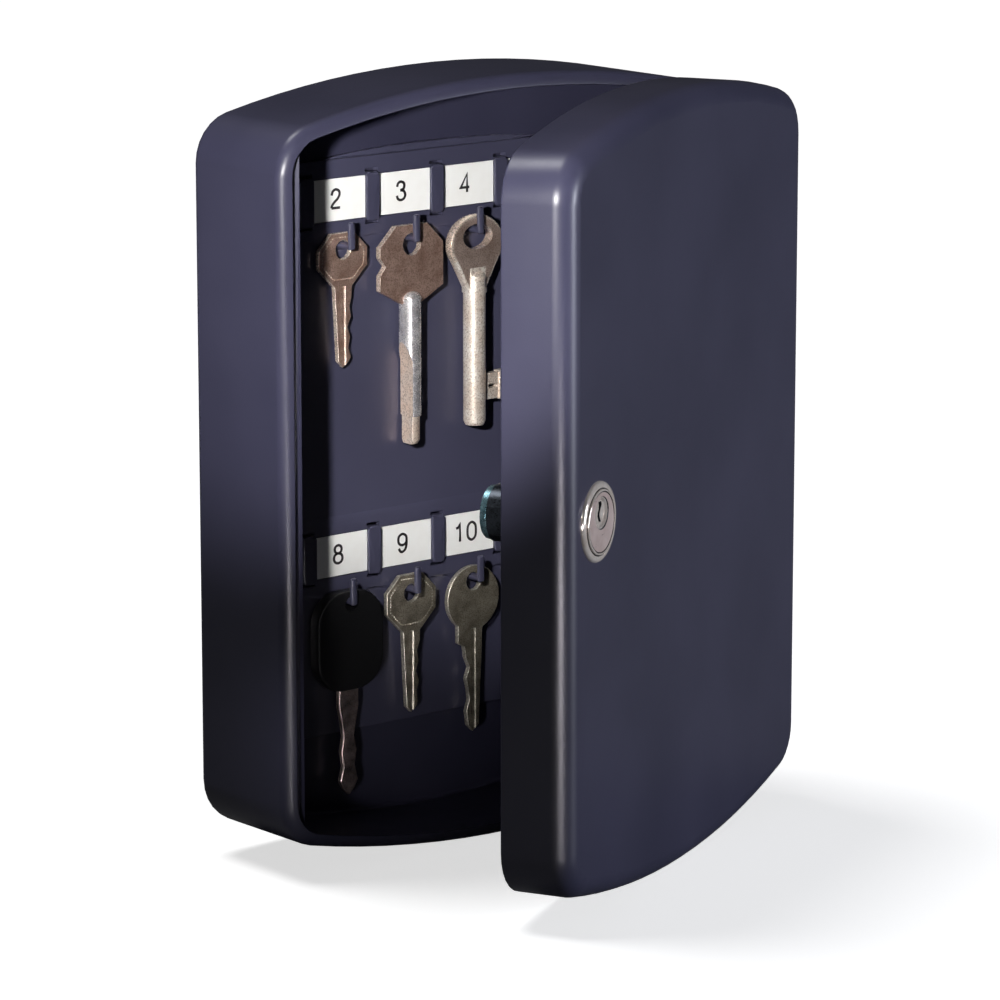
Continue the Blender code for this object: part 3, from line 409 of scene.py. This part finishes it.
# Each digit is drawn as strokes in a box of this size: L straight, C curved, O a closed loop
digitWide, digitHigh = 0.6, 1
digitStrokes = {
    "0": (("O", (.30, 1), (.52, .84), (.57, .5), (.52, .16), (.30, 0), (.08, .16), (.03, .5), (.08, .84)),),
    "1": (("L", (.10, .77), (.24, .81), (.35, 1.0), (.35, 0)),),
    "2": (("C", (.05, .69), (.12, .90), (.30, 1.0), (.49, .91), (.53, .72), (.42, .50), (.21, .31), (.07, .13),
           (.04, .0)), ("L", (.04, .0), (.56, .0))),
    "3": (("C", (.06, .74), (.13, .93), (.30, 1.0), (.47, .92), (.51, .76), (.44, .60), (.25, .54)),
          ("C", (.25, .54), (.46, .48), (.56, .28), (.48, .08), (.29, 0), (.11, .08), (.04, .26))),
    "4": (("L", (.43, 0), (.43, 1), (.03, .27), (.58, .27)),),
    "5": (("L", (.52, .98), (.15, .98), (.09, .50)),
          ("C", (.09, .50), (.28, .63), (.48, .55), (.56, .33), (.48, .09), (.28, 0), (.10, .08), (.04, .22))),
    "6": (("C", (.53, .79), (.44, .95), (.31, 1.0), (.13, .88), (.05, .62), (.04, .33)),
          ("O", (.30, .62), (.50, .53), (.56, .31), (.50, .10), (.30, 0), (.10, .10), (.04, .31), (.10, .53))),
    "7": (("L", (.04, .98), (.55, .98)), ("C", (.55, .98), (.38, .70), (.25, .38), (.19, 0))),
    "8": (("O", (.30, 1), (.46, .93), (.51, .77), (.45, .61), (.30, .55), (.15, .61), (.09, .77), (.14, .93)),
          ("O", (.30, .55), (.49, .47), (.56, .28), (.49, .08), (.30, 0), (.11, .08), (.04, .28), (.11, .47))),
}
# A nine is a six turned half round
digitStrokes["9"] = tuple((kind, *((digitWide - x, digitHigh - y) for x, y in points))
                          for kind, *points in digitStrokes["6"])


# A smooth line through the points of a curved stroke
def strokeLine(kind, points, steps=6):
    if kind == "L":
        return [Vector(point) for point in points]
    count, line = len(points), []
    for i in range(count if kind == "O" else count - 1):
        if kind == "O":
            a, b, c, d = (Vector(points[(i + k) % count]) for k in (-1, 0, 1, 2))
        else:
            a, b, c, d = (Vector(points[min(max(i + k, 0), count - 1)]) for k in (-1, 0, 1, 2))
        for j in range(steps):
            t = j / steps
            line.append(0.5 * (2 * b + (c - a) * t + (2 * a - 5 * b + 4 * c - d) * t * t
                               + (3 * b - a - 3 * c + d) * t ** 3))
    return line if kind == "O" else line + [Vector(points[-1])]


# A flat band along a line, wider at a corner so that its sides stay parallel
def inkRibbon(shape, line, half, closed, offset):
    sides = []
    for i, point in enumerate(line):
        before = line[i - 1] if i or closed else point
        after = line[(i + 1) % len(line)] if i + 1 < len(line) or closed else point
        one, two = (point - before), (after - point)
        ways = [way.normalized() for way in (one, two) if way.length > 1e-6]
        way = sum(ways, Vector((0, 0))).normalized()
        reach = half / max(numberLook["corner"], abs(way.dot(ways[0])))
        across = Vector((-way.y, way.x)) * reach
        sides.append([shape.verts.new((point.x + sign * across.x + offset, point.y + sign * across.y, 0))
                      for sign in (1, -1)])
    pairs = list(zip(sides, sides[1:])) + ([(sides[-1], sides[0])] if closed else [])
    for first, second in pairs:
        shape.faces.new((first[0], first[1], second[1], second[0]))


def numberOn(card, number, look):
    shape = bmesh.new()
    digits = str(number)
    for i, digit in enumerate(digits):
        offset = (i - (len(digits) - 1) / 2) * look["pitch"] - digitWide / 2
        for kind, *points in digitStrokes[digit]:
            inkRibbon(shape, strokeLine(kind, points), look["stroke"] / 2, kind == "O", offset)
    shape.normal_update()
    for face in shape.faces:
        if face.normal.z < 0:
            face.normal_flip()
    low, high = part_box(card)
    spot = Vector(((low.x + high.x) / 2 + look["shift"], low.y - look["proud"],
                   (low.z + high.z) / 2 + look["raise"]))
    place = Matrix.Translation(spot) @ Matrix.Rotation(math.radians(90), 4, "X")
    place = place @ Matrix.Diagonal((look["height"] * look["wide"], look["height"], look["height"], 1))
    shape.transform(place @ Matrix.Translation((0, -digitHigh / 2, 0)))
    piece = fromBmesh(f"cardNumber{number}", shape, ink)
    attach(piece, frame["nodes"][card]["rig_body"])


for number in range(1, 13):
    card = f"label_card_{number}"
    paper = cardPaper(f"cardPaper{number}", cardLook, centreOf(card))
    dressed(card, f"numberCard{number}", "card", paper, edge=cardLook["edge"])
    numberOn(card, number, numberLook)
print("twelve cards printed")


# Lock: a turned ring and barrel with flats, and a plug with a winding keyway

lockLook = {
    "x": -90 * mm, "z": 2 * mm, "front": -85 * mm, "back": -45.2 * mm, "steps": 128,
    "flat": 9.9 * mm, "barrel": 10.7 * mm, "hole": 6.02 * mm, "plug rise": 3.4 * mm,
    "face": 11.1 * mm, "face front": -86.85 * mm, "hole depth": 2.2 * mm,
    "hole chamfer": 0.12 * mm, "plug": 5.95 * mm, "plug front": -86.55 * mm, "plug chamfer": 0.15 * mm,
    "plug rim": 0.45 * mm, "plug steps": 72, "dish": 0.75 * mm, "dish radius": 4.7 * mm,
    # The rows of the ring's section that lie in its two grooves, which are painted near-black as shade
    "shaded grooves": (0, 1, 2, 10, 11, 12),
}
keywayLook = {"wide": 2.0 * mm, "depth": 3.0 * mm, "top": 4.1 * mm, "long": 7.6 * mm, "swing": 0.75 * mm,
              "half turns": 2.1, "phase": 0.5, "upper part": 0.3, "upper share": 1.25, "lower share": 0.85}
fittingEdges = {"zinc": 0.25 * mm, "screw": 0.2 * mm, "pin": 0.15 * mm}
lockMiddle = doorPlace @ Vector((lockLook["x"], lockLook["front"], 0))
lockChrome = wornMetal("lockChrome", chromeLook, lockMiddle)
lockPaintedShade = wornMetal("lockPaintedShade", paintedShadeLook, lockMiddle)
lockFace = wornMetal("lockFace", faceLook, lockMiddle, (0, 0, -doorHinge["open"]))


def around(look, radius, y, rise=0.0, flat=None):
    points = []
    for i in range(look["steps"]):
        angle = 2 * math.pi * i / look["steps"]
        x = radius * math.cos(angle)
        if flat:
            x = max(-flat, min(flat, x))
        points.append(doorPlace @ Vector((look["x"] + x, y, look["z"] + rise + radius * math.sin(angle))))
    return points


# Radius and height of the ring's rounded front, from the face outwards, in mm
ringSection = ((11.0, 1.85), (11.02, 1.35), (11.36, 1.35), (11.4, 1.85), (11.42, 2.0), (11.58, 2.04),
               (11.74, 2.05), (11.92, 2.0), (12.06, 1.9), (12.16, 1.74), (12.2, 1.5), (12.22, 0.9),
               (12.5, 0.88), (12.54, 1.2), (12.62, 1.36), (12.95, 1.45), (13.4, 1.48), (13.9, 1.42),
               (14.3, 1.28), (14.65, 1.05), (14.9, 0.75), (15.05, 0.4), (15.1, 0.0))


def lockRing(look):
    shape = bmesh.new()
    rows = [around(look, r * mm, look["front"] - h * mm) for r, h in ringSection]
    rows += [around(look, look["barrel"], look["front"], flat=look["flat"]),
             around(look, look["barrel"], look["back"], flat=look["flat"]),
             around(look, look["hole"], look["back"], look["plug rise"])]
    rows += [around(look, look["hole"], look["face front"] + look["hole depth"], look["plug rise"]),
             around(look, look["hole"], look["face front"] + look["hole chamfer"], look["plug rise"]),
             around(look, look["hole"] + look["hole chamfer"], look["face front"], look["plug rise"])]
    lofted(shape, rows)
    shape.faces.ensure_lookup_table()
    for index, face in enumerate(shape.faces):
        row = index // look["steps"]
        inShadedGroove = row in look["shaded grooves"]  # 0 is chrome, 1 the flat face, 2 painted shade: near-black on the grooves, hole and barrel
        face.material_index = 1 if row == len(rows) - 1 else 2 if inShadedGroove or row >= len(ringSection) else 0
    bmesh.ops.recalc_face_normals(shape, faces=shape.faces)
    return fromBmesh("lockRing", shape, lockChrome, lockFace, lockPaintedShade)


# The keyway winds: its middle line swings from side to side on the way down
def keywayEdge(look, count=22):
    right, left = [], []
    for i in range(count + 1):
        share = i / count
        z = look["top"] - share * look["long"]
        x = look["swing"] * math.sin(share * look["half turns"] * math.pi + look["phase"])
        half = look["wide"] / 2 * (look["upper share"] if share < look["upper part"] else look["lower share"])
        right.append((x + half, z))
        left.append((x - half, z))
    return right + left[::-1]


def lockPlug(look):
    shape = bmesh.new()
    steps = {"steps": look["plug steps"], "x": look["x"], "z": look["z"]}
    y, rise, chamfer = look["plug front"], look["plug rise"], look["plug chamfer"]
    rows = [around(steps, look["plug"], look["back"], rise),
            around(steps, look["plug"], y + chamfer, rise),
            around(steps, look["plug"] - chamfer, y, rise),
            around(steps, look["plug"] - look["plug rim"], y, rise),
            around(steps, look["dish radius"], y + look["dish"], rise)]
    made = lofted(shape, rows, closed=False)
    slot = []
    for depth in (look["dish"], look["dish"] + keywayLook["depth"]):
        slot.append([shape.verts.new(doorPlace @ Vector((look["x"] + x, y + depth, look["z"] + rise + z)))
                     for x, z in keywayEdge(keywayLook)])
    count = len(slot[0])
    walls = [shape.faces.new((slot[0][i], slot[0][(i + 1) % count], slot[1][(i + 1) % count], slot[1][i]))
             for i in range(count)]
    walls.append(shape.faces.new(slot[1]))
    shape.faces.new(made[0])
    rim = []
    for ring in (made[-1], slot[0]):
        rim += [shape.edges.get((ring[i], ring[(i + 1) % len(ring)])) for i in range(len(ring))]
    bmesh.ops.triangle_fill(shape, use_beauty=True, edges=rim)
    # The keyway's walls and floor are painted near-black as shade
    for wall in walls:
        wall.material_index = 1
    bmesh.ops.recalc_face_normals(shape, faces=shape.faces)
    return fromBmesh("lockPlugFace", shape, lockChrome, lockPaintedShade)


standsFor(smooth(lockRing(lockLook)), "lock_housing")
standsFor(smooth(lockPlug(lockLook), creaseAngle=25), "lock_plug")
for node, name in (("lock_nut", "lockNut"), ("lock_washer", "lockWasher"), ("lock_cam", "lockCam")):
    dressed(node, name, "zinc", wornMetal(f"{name}Zinc", zincLook, centreOf(node)),
            edge=fittingEdges["zinc"])
screwSteel = wornMetal("camScrewSteel", steelLook, centreOf("cam_screw"))
dressed("cam_screw", "camScrew", "steel", screwSteel, edge=fittingEdges["screw"])
for node, name in (("hinge_pin_upper", "upperPin"), ("hinge_pin_lower", "lowerPin")):
    dressed(node, name, "steel", wornMetal(f"{name}Steel", steelLook, centreOf(node)),
            edge=fittingEdges["pin"])
print("lock and hinge pins made")


# Keys

keyLook = {"edge": 0.5 * mm, "hole": 1.32, "hole reach": 1.04, "facing": 0.93}
# The bit key's ring becomes an oval: it is shortened towards its top, and its hole is widened
bitRing = {"bottom": 62.0 * mm, "all above": 64.5 * mm, "y": -10 * mm, "half plate": 2.3 * mm,
           "axis gap": 0.1 * mm, "hole wide": 1.25, "bow high": 0.85, "bow from": 65.5 * mm,
           "bright edges from": 67 * mm}
shankParts = {"bow from": 57.0 * mm, "bow front": -11.0 * mm, "tip to": 10 * mm, "flat to": 45 * mm,
              "bright edges from": 62 * mm}
keyMetals = {
    "key_2": ("smallKey", "key_brass", bronzeLook), "key_4": ("bitKey", "key_brass", paleBronzeLook),
    "key_9": ("octagonKey", "key_nickel", nickelLook), "key_10": ("roundKey", "key_nickel", nickelLook),
    "key_8_blade": ("headedBlade", "steel", darkSteelLook),
}
# Where each hanging hole is: x and z of its middle, and its radius, in mm
holePlaces = {"key_2": (-48.3, 82.2, 2.8), "key_3": (-16.1, 81.6, 3.4), "key_9": (-16.1, -58.2, 2.8),
              "key_10": (16.1, -58.2, 2.8), "key_4": (16.1, 79.0, 6.0)}


# The hanging hole opens out downwards from the hook, and the ring of the bit key becomes an oval
def shapeBow(node):
    def reshape(shape):
        x, z, radius = (value * mm for value in holePlaces[node])
        rim = [v for v in shape.verts if math.hypot(v.co.x - x, v.co.z - z) < radius * keyLook["hole reach"]]
        if node == "key_4":
            for vertex in rim:
                vertex.co.x = x + (vertex.co.x - x) * bitRing["hole wide"]
            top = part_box(node)[1].z
            for vertex in shape.verts:
                deep = vertex.co.y - bitRing["y"]
                offAxis = math.hypot(vertex.co.x - x, deep) > bitRing["axis gap"]
                inRing = vertex.co.z > bitRing["all above"] or abs(deep) < bitRing["half plate"]
                if vertex.co.z > bitRing["bottom"] and offAxis and inRing:
                    vertex.co.z = top - (top - vertex.co.z) * bitRing["bow high"]
            return
        for vertex in rim:
            vertex.co.x = x + (vertex.co.x - x) * keyLook["hole"]
            vertex.co.z = z + radius + (vertex.co.z - z - radius) * keyLook["hole"]
    return reshape


# The cut edges are made brighter, partly wear from handling and partly painted highlight: every face that looks
# neither forwards nor backwards
def rubEdges(piece, metal, above=-1.0):
    piece.data.materials.append(metal)
    for face in piece.data.polygons:
        if abs(face.normal.y) < keyLook["facing"] and face.center.z > above:
            face.material_index = len(piece.data.materials) - 1


keyFinish, wearAndSheenEdgeFinish = {}, {}
for node, (name, slot, look) in keyMetals.items():
    keyFinish[node] = wornMetal(f"{name}Metal", look, centreOf(node))
    wearAndSheenLook = wearAndSheenEdgeLook if look is bronzeLook or node == "key_4" else look
    if look is nickelLook:
        wearAndSheenLook = nickelWearAndSheenEdgeLook
    wearAndSheenEdgeFinish[node] = wornMetal(f"{name}Edge", wearAndSheenLook, centreOf(node))
    # On the bit key the bow and shank are one metal: the shank's paler bronze is painted highlight and the
    # bow's darker bronze is painted shade
    bow = [wornMetal(f"{name}Bow", shadedBitBowLook, centreOf(node))] if node == "key_4" else []
    piece = dressed(node, name, slot, keyFinish[node], *bow, edge=keyLook["edge"],
                    part=(lambda middle: int(middle.z > bitRing["bow from"])) if bow else None,
                    reshape=shapeBow(node) if node in holePlaces else None)
    rubEdges(piece, wearAndSheenEdgeFinish[node], bitRing["bright edges from"] if bow else -1.0)
bowBronze = wornMetal("bowBronze", bronzeLook, centreOf("key_3"))
shankSteel = wornMetal("shankSteel", dict(steelLook, roughness=0.27), centreOf("key_3"))
paleBit = wornMetal("paleBit", dict(paleBronzeLook, bright=tint(0.92, 0.74, 0.60)), centreOf("key_3"))
bowWearAndSheenEdge = wornMetal("bowWearAndSheenEdge", wearAndSheenEdgeLook, centreOf("key_3"))


# The third key's bow is bronze and its shank steel; its tip, and its flat below, are worn to bronze
def keyPart(middle):
    if middle.z > shankParts["bow from"] and middle.y > shankParts["bow front"]:
        return 0
    return 2 if middle.z < shankParts["tip to"] else 1


shankKey = dressed("key_3", "shankKey", "key_nickel", bowBronze, shankSteel, paleBit, edge=keyLook["edge"],
                   part=keyPart, reshape=shapeBow("key_3"))
rubEdges(shankKey, bowWearAndSheenEdge, shankParts["bright edges from"])
for face in shankKey.data.polygons:
    if face.normal.x < -0.9 and abs(face.normal.y) < 0.1 and face.center.z < shankParts["flat to"]:
        face.material_index = 2


domeLook = {"height": 2.6 * mm, "collar out": 0.25 * mm, "collar top": -0.1 * mm, "collar foot": -0.7 * mm,
            "foot": -0.9 * mm, "steps": 40}
# Radius and height of the dome, as shares of the shank's radius and the dome's height
domeShares = ((0.35, 0.95), (0.62, 0.8), (0.84, 0.54), (0.97, 0.22), (1.0, 0.0))
# Where each dome sits: x, y, z and the shank's radius, in mm
domePlaces = {"key_3": (-16.1, -9.5, 59.4, 4.4), "key_4": (16.1, -10, 64.25, 4.5)}


# A rounded collar closes the top of a shank where it meets the bow
def shankDome(name, node, metal):
    x, y, z, radius = (value * mm for value in domePlaces[node])
    shape = bmesh.new()
    out = radius + domeLook["collar out"]
    section = [(radius * r, domeLook["height"] * h) for r, h in domeShares]
    section += [(out, domeLook["collar top"]), (out, domeLook["collar foot"]), (radius, domeLook["foot"])]
    angles = [2 * math.pi * i / domeLook["steps"] for i in range(domeLook["steps"])]
    rows = [[(x + r * math.cos(angle), y + r * math.sin(angle), z + h) for angle in angles] for r, h in section]
    made = lofted(shape, rows, closed=False)
    shape.faces.new(made[0])
    shape.faces.new(made[-1])
    bmesh.ops.recalc_face_normals(shape, faces=shape.faces)
    piece = smooth(fromBmesh(name, shape, metal))
    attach(piece, frame["nodes"][node]["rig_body"])


shankDome("shankKeyDome", "key_3", shankSteel)
shankDome("bitKeyDome", "key_4", keyFinish["key_4"])
headPlastic = mouldedPlastic("keyHeadPlastic", keyHeadLook, centreOf("key_8_head"))
dressed("key_8_head", "keyHead", "key_plastic", headPlastic)
print("keys dressed")


# Pip borders: small beads along an octagon, on both faces of a bow

def socketNamed(tree, name):
    return next(item.identifier for item in tree.interface.items_tree if item.name == name)


def pipTree():
    tree = bpy.data.node_groups.new("pipBorder", "GeometryNodeTree")
    sockets = (("Geometry", "INPUT", "NodeSocketGeometry"), ("Geometry", "OUTPUT", "NodeSocketGeometry"),
               ("Pip Spacing", "INPUT", "NodeSocketFloat"), ("Pip Radius", "INPUT", "NodeSocketFloat"),
               ("Size Spread", "INPUT", "NodeSocketFloat"), ("Metal", "INPUT", "NodeSocketMaterial"))
    for name, way, kind in sockets:
        tree.interface.new_socket(name, in_out=way, socket_type=kind)
    nodes, link = tree.nodes, tree.links.new
    start, end = nodes.new("NodeGroupInput"), nodes.new("NodeGroupOutput")
    curve = nodes.new("GeometryNodeMeshToCurve")
    even = nodes.new("GeometryNodeResampleCurve")
    even.mode = "LENGTH"
    points = nodes.new("GeometryNodeCurveToPoints")
    points.mode = "EVALUATED"
    pip = nodes.new("GeometryNodeMeshIcoSphere")
    pip.inputs["Subdivisions"].default_value = 1
    spread = nodes.new("FunctionNodeRandomValue")
    spread.data_type = "FLOAT"
    spread.inputs["Seed"].default_value = 7
    spread.inputs[3].default_value = 1.0
    least = nodes.new("ShaderNodeMath")
    least.operation = "SUBTRACT"
    least.inputs[0].default_value = 1.0
    onto = nodes.new("GeometryNodeInstanceOnPoints")
    real = nodes.new("GeometryNodeRealizeInstances")
    paint = nodes.new("GeometryNodeSetMaterial")
    link(start.outputs["Geometry"], curve.inputs["Mesh"])
    link(curve.outputs["Curve"], even.inputs["Curve"])
    link(start.outputs["Pip Spacing"], even.inputs["Length"])
    link(even.outputs["Curve"], points.inputs["Curve"])
    link(points.outputs["Points"], onto.inputs["Points"])
    link(start.outputs["Pip Radius"], pip.inputs["Radius"])
    link(pip.outputs["Mesh"], onto.inputs["Instance"])
    link(start.outputs["Size Spread"], least.inputs[1])
    link(least.outputs[0], spread.inputs[2])
    link(spread.outputs[1], onto.inputs["Scale"])
    link(onto.outputs["Instances"], real.inputs["Geometry"])
    link(real.outputs["Geometry"], paint.inputs["Geometry"])
    link(start.outputs["Metal"], paint.inputs["Material"])
    link(paint.outputs["Geometry"], end.inputs["Geometry"])
    return tree


pipBorder = pipTree()
pipLook = {"spacing": 1.25 * mm, "radius": 0.40 * mm, "spread": 0.2, "inset": 1.8 * mm, "sunk": 0.05 * mm,
           "corner share": 0.27, "inset share": 0.586}


# The octagon runs round a bow, inside its edge by the inset, on the front and the back face
def pipsOn(node, name, width, top, bottom, corner, faces):
    low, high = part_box(node)
    middle = (low.x + high.x) / 2
    half, inset = width / 2, pipLook["inset"]
    cut = corner - inset * pipLook["inset share"]
    half, top, bottom = half - inset, top - inset, bottom + inset
    corners = [(half - cut, top), (half, top - cut), (half, bottom + cut), (half - cut, bottom),
               (cut - half, bottom), (-half, bottom + cut), (-half, top - cut), (cut - half, top)]
    shape = bmesh.new()
    for y in faces:
        ring = [shape.verts.new((middle + x, y, z)) for x, z in corners]
        for i in range(len(ring)):
            shape.edges.new((ring[i], ring[(i + 1) % len(ring)]))
    # The pips take the paler edge metal: partly wear, partly painted highlight
    piece = fromBmesh(name, shape, wearAndSheenEdgeFinish[node])
    modifier = piece.modifiers.new("pips", "NODES")
    modifier.node_group = pipBorder
    for label, value in (("Pip Spacing", pipLook["spacing"]), ("Pip Radius", pipLook["radius"]),
                         ("Size Spread", pipLook["spread"]), ("Metal", wearAndSheenEdgeFinish[node])):
        modifier[socketNamed(pipBorder, label)] = value
    settle(piece)
    piece.data.shade_smooth()
    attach(piece, frame["nodes"][node]["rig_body"])


# The last three numbers are the bow's width, top and bottom, in mm
for node, name, slot, size in (("key_2", "smallKeyPips", "key_brass", (23.7, 88.0, 68.0)),
                               ("key_9", "octagonKeyPips", "key_nickel", (24.7, -51.5, -73.4))):
    low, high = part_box(node)
    width, top, bottom = (value * mm for value in size)
    sunk = pipLook["sunk"]
    corner = width * pipLook["corner share"]
    pipsOn(node, name, width, top, bottom, corner, (low.y + sunk, high.y - sunk))
print("pip borders laid")


# Floor, light and camera

# Floor and backdrop look pale to the camera, and send the object less light than that
stageLook = {"floor": tint(0.80, 0.80, 0.80), "floor bounce": tint(0.18, 0.18, 0.18), "glow": 0.66,
             "floor level": -150.6 * mm, "floor size": 9.0, "world": tint(1.0, 1.0, 1.0),
             "world strength": 0.03}

floorShape = bmesh.new()
bmesh.ops.create_grid(floorShape, x_segments=1, y_segments=1, size=stageLook["floor size"] / 2)
for vertex in floorShape.verts:
    vertex.co.z = stageLook["floor level"]
floorFinish = Finish("paleFloor")
seen = floorFinish.add("ShaderNodeLightPath", out="Is Camera Ray")
floorColour = floorFinish.mix(seen, stageLook["floor bounce"], stageLook["floor"])
floorPaint = floorFinish.surface(Base_Color=floorColour, Roughness=0.9, Specular_IOR_Level=0.0,
                                 Emission_Color=tint(1.0, 1.0, 1.0),
                                 Emission_Strength=seen * stageLook["glow"])
fromBmesh("floor", floorShape, floorPaint)

scene.world = bpy.data.worlds.new("studio")
scene.world.use_nodes = True
backdrop = scene.world.node_tree.nodes["Background"]
backdrop.inputs["Color"].default_value = stageLook["world"]
ray = scene.world.node_tree.nodes.new("ShaderNodeLightPath")
strength = scene.world.node_tree.nodes.new("ShaderNodeMapRange")
strength.inputs["To Min"].default_value = stageLook["world strength"]
scene.world.node_tree.links.new(ray.outputs["Is Camera Ray"], strength.inputs["Value"])
scene.world.node_tree.links.new(strength.outputs[0], backdrop.inputs["Strength"])

# Azimuth is measured from the cabinet's front towards its left side, in degrees
lampLook = {
    "key": {"kind": "SPOT", "azimuth": 49.7, "elevation": 6, "distance": 0.52, "aim": (-0.04, -0.03, 0.128),
            "power": 20.5, "cone": 43.0, "blend": 0.55, "size": 0.010, "colour": (1.0, 0.98, 0.97)},
    "low": {"kind": "SPOT", "azimuth": 52, "elevation": 4, "distance": 0.5, "aim": (-0.02, -0.01, -0.104),
            "power": 2.6, "cone": 14.0, "blend": 0.9, "size": 0.02, "colour": (1.0, 0.97, 0.96)},
    "front": {"kind": "AREA", "azimuth": -35, "elevation": -4, "distance": 1.7, "aim": (0.02, -0.12, -0.03),
              "power": 50, "size": (0.35, 1.2), "colour": (0.86, 0.90, 1.0)},
    "fill": {"kind": "AREA", "azimuth": 40, "elevation": -4, "distance": 1.5, "aim": (0, -0.05, -0.05),
             "power": 0.5, "size": (0.5, 0.5), "colour": (1.0, 1.0, 1.0)},
    "strip": {"kind": "SPOT", "azimuth": 33, "elevation": -2, "distance": 0.826, "aim": (-0.03, -0.17, -0.12),
              "power": 78, "cone": 18, "blend": 0.7, "size": 0.12, "colour": (1.0, 0.94, 0.97)},
    "over": {"kind": "SUN", "azimuth": 150, "elevation": 70, "distance": 2.0, "aim": (0, 0, 0),
             "power": 1.5, "size": math.radians(22), "colour": (1.0, 1.0, 1.0)},
}


def fromAngles(azimuth, elevation, distance, aim):
    a, e = math.radians(azimuth), math.radians(elevation)
    way = Vector((-math.sin(a) * math.cos(e), -math.cos(a) * math.cos(e), math.sin(e)))
    return Vector(aim) + distance * way


def pointAt(item, aim):
    item.rotation_euler = (Vector(aim) - item.location).to_track_quat("-Z", "Y").to_euler()


for name, look in lampLook.items():
    light = bpy.data.lights.new(f"{name}Light", look["kind"])
    light.energy, light.color = look["power"], look["colour"]
    if look["kind"] == "SPOT":
        light.spot_size, light.spot_blend = math.radians(look["cone"]), look["blend"]
        light.shadow_soft_size = look["size"]
    elif look["kind"] == "SUN":
        light.angle = look["size"]
    else:
        light.shape = "RECTANGLE"
        light.size, light.size_y = look["size"]
    lamp = bpy.data.objects.new(f"{name}Light", light)
    scene.collection.objects.link(lamp)
    lamp.visible_camera = False
    if name == "strip":
        lamp.visible_diffuse = False  # It adds highlights only
    lamp.location = fromAngles(look["azimuth"], look["elevation"], look["distance"], look["aim"])
    pointAt(lamp, look["aim"])

cameraLook = {"azimuth": 39.76, "elevation": 11.94, "distance": 2.0052, "aim": (37.59 * mm, 0.0, -30.44 * mm),
              "lens": 179.26, "sensor": 36.0}
camera = bpy.data.objects.new("camera", bpy.data.cameras.new("camera"))
scene.collection.objects.link(camera)
camera.data.lens, camera.data.sensor_width = cameraLook["lens"], cameraLook["sensor"]
camera.location = fromAngles(cameraLook["azimuth"], cameraLook["elevation"], cameraLook["distance"],
                             cameraLook["aim"])
pointAt(camera, cameraLook["aim"])
scene.camera = camera
scene.view_settings.view_transform = "Standard"
print("stage, lights and camera set")
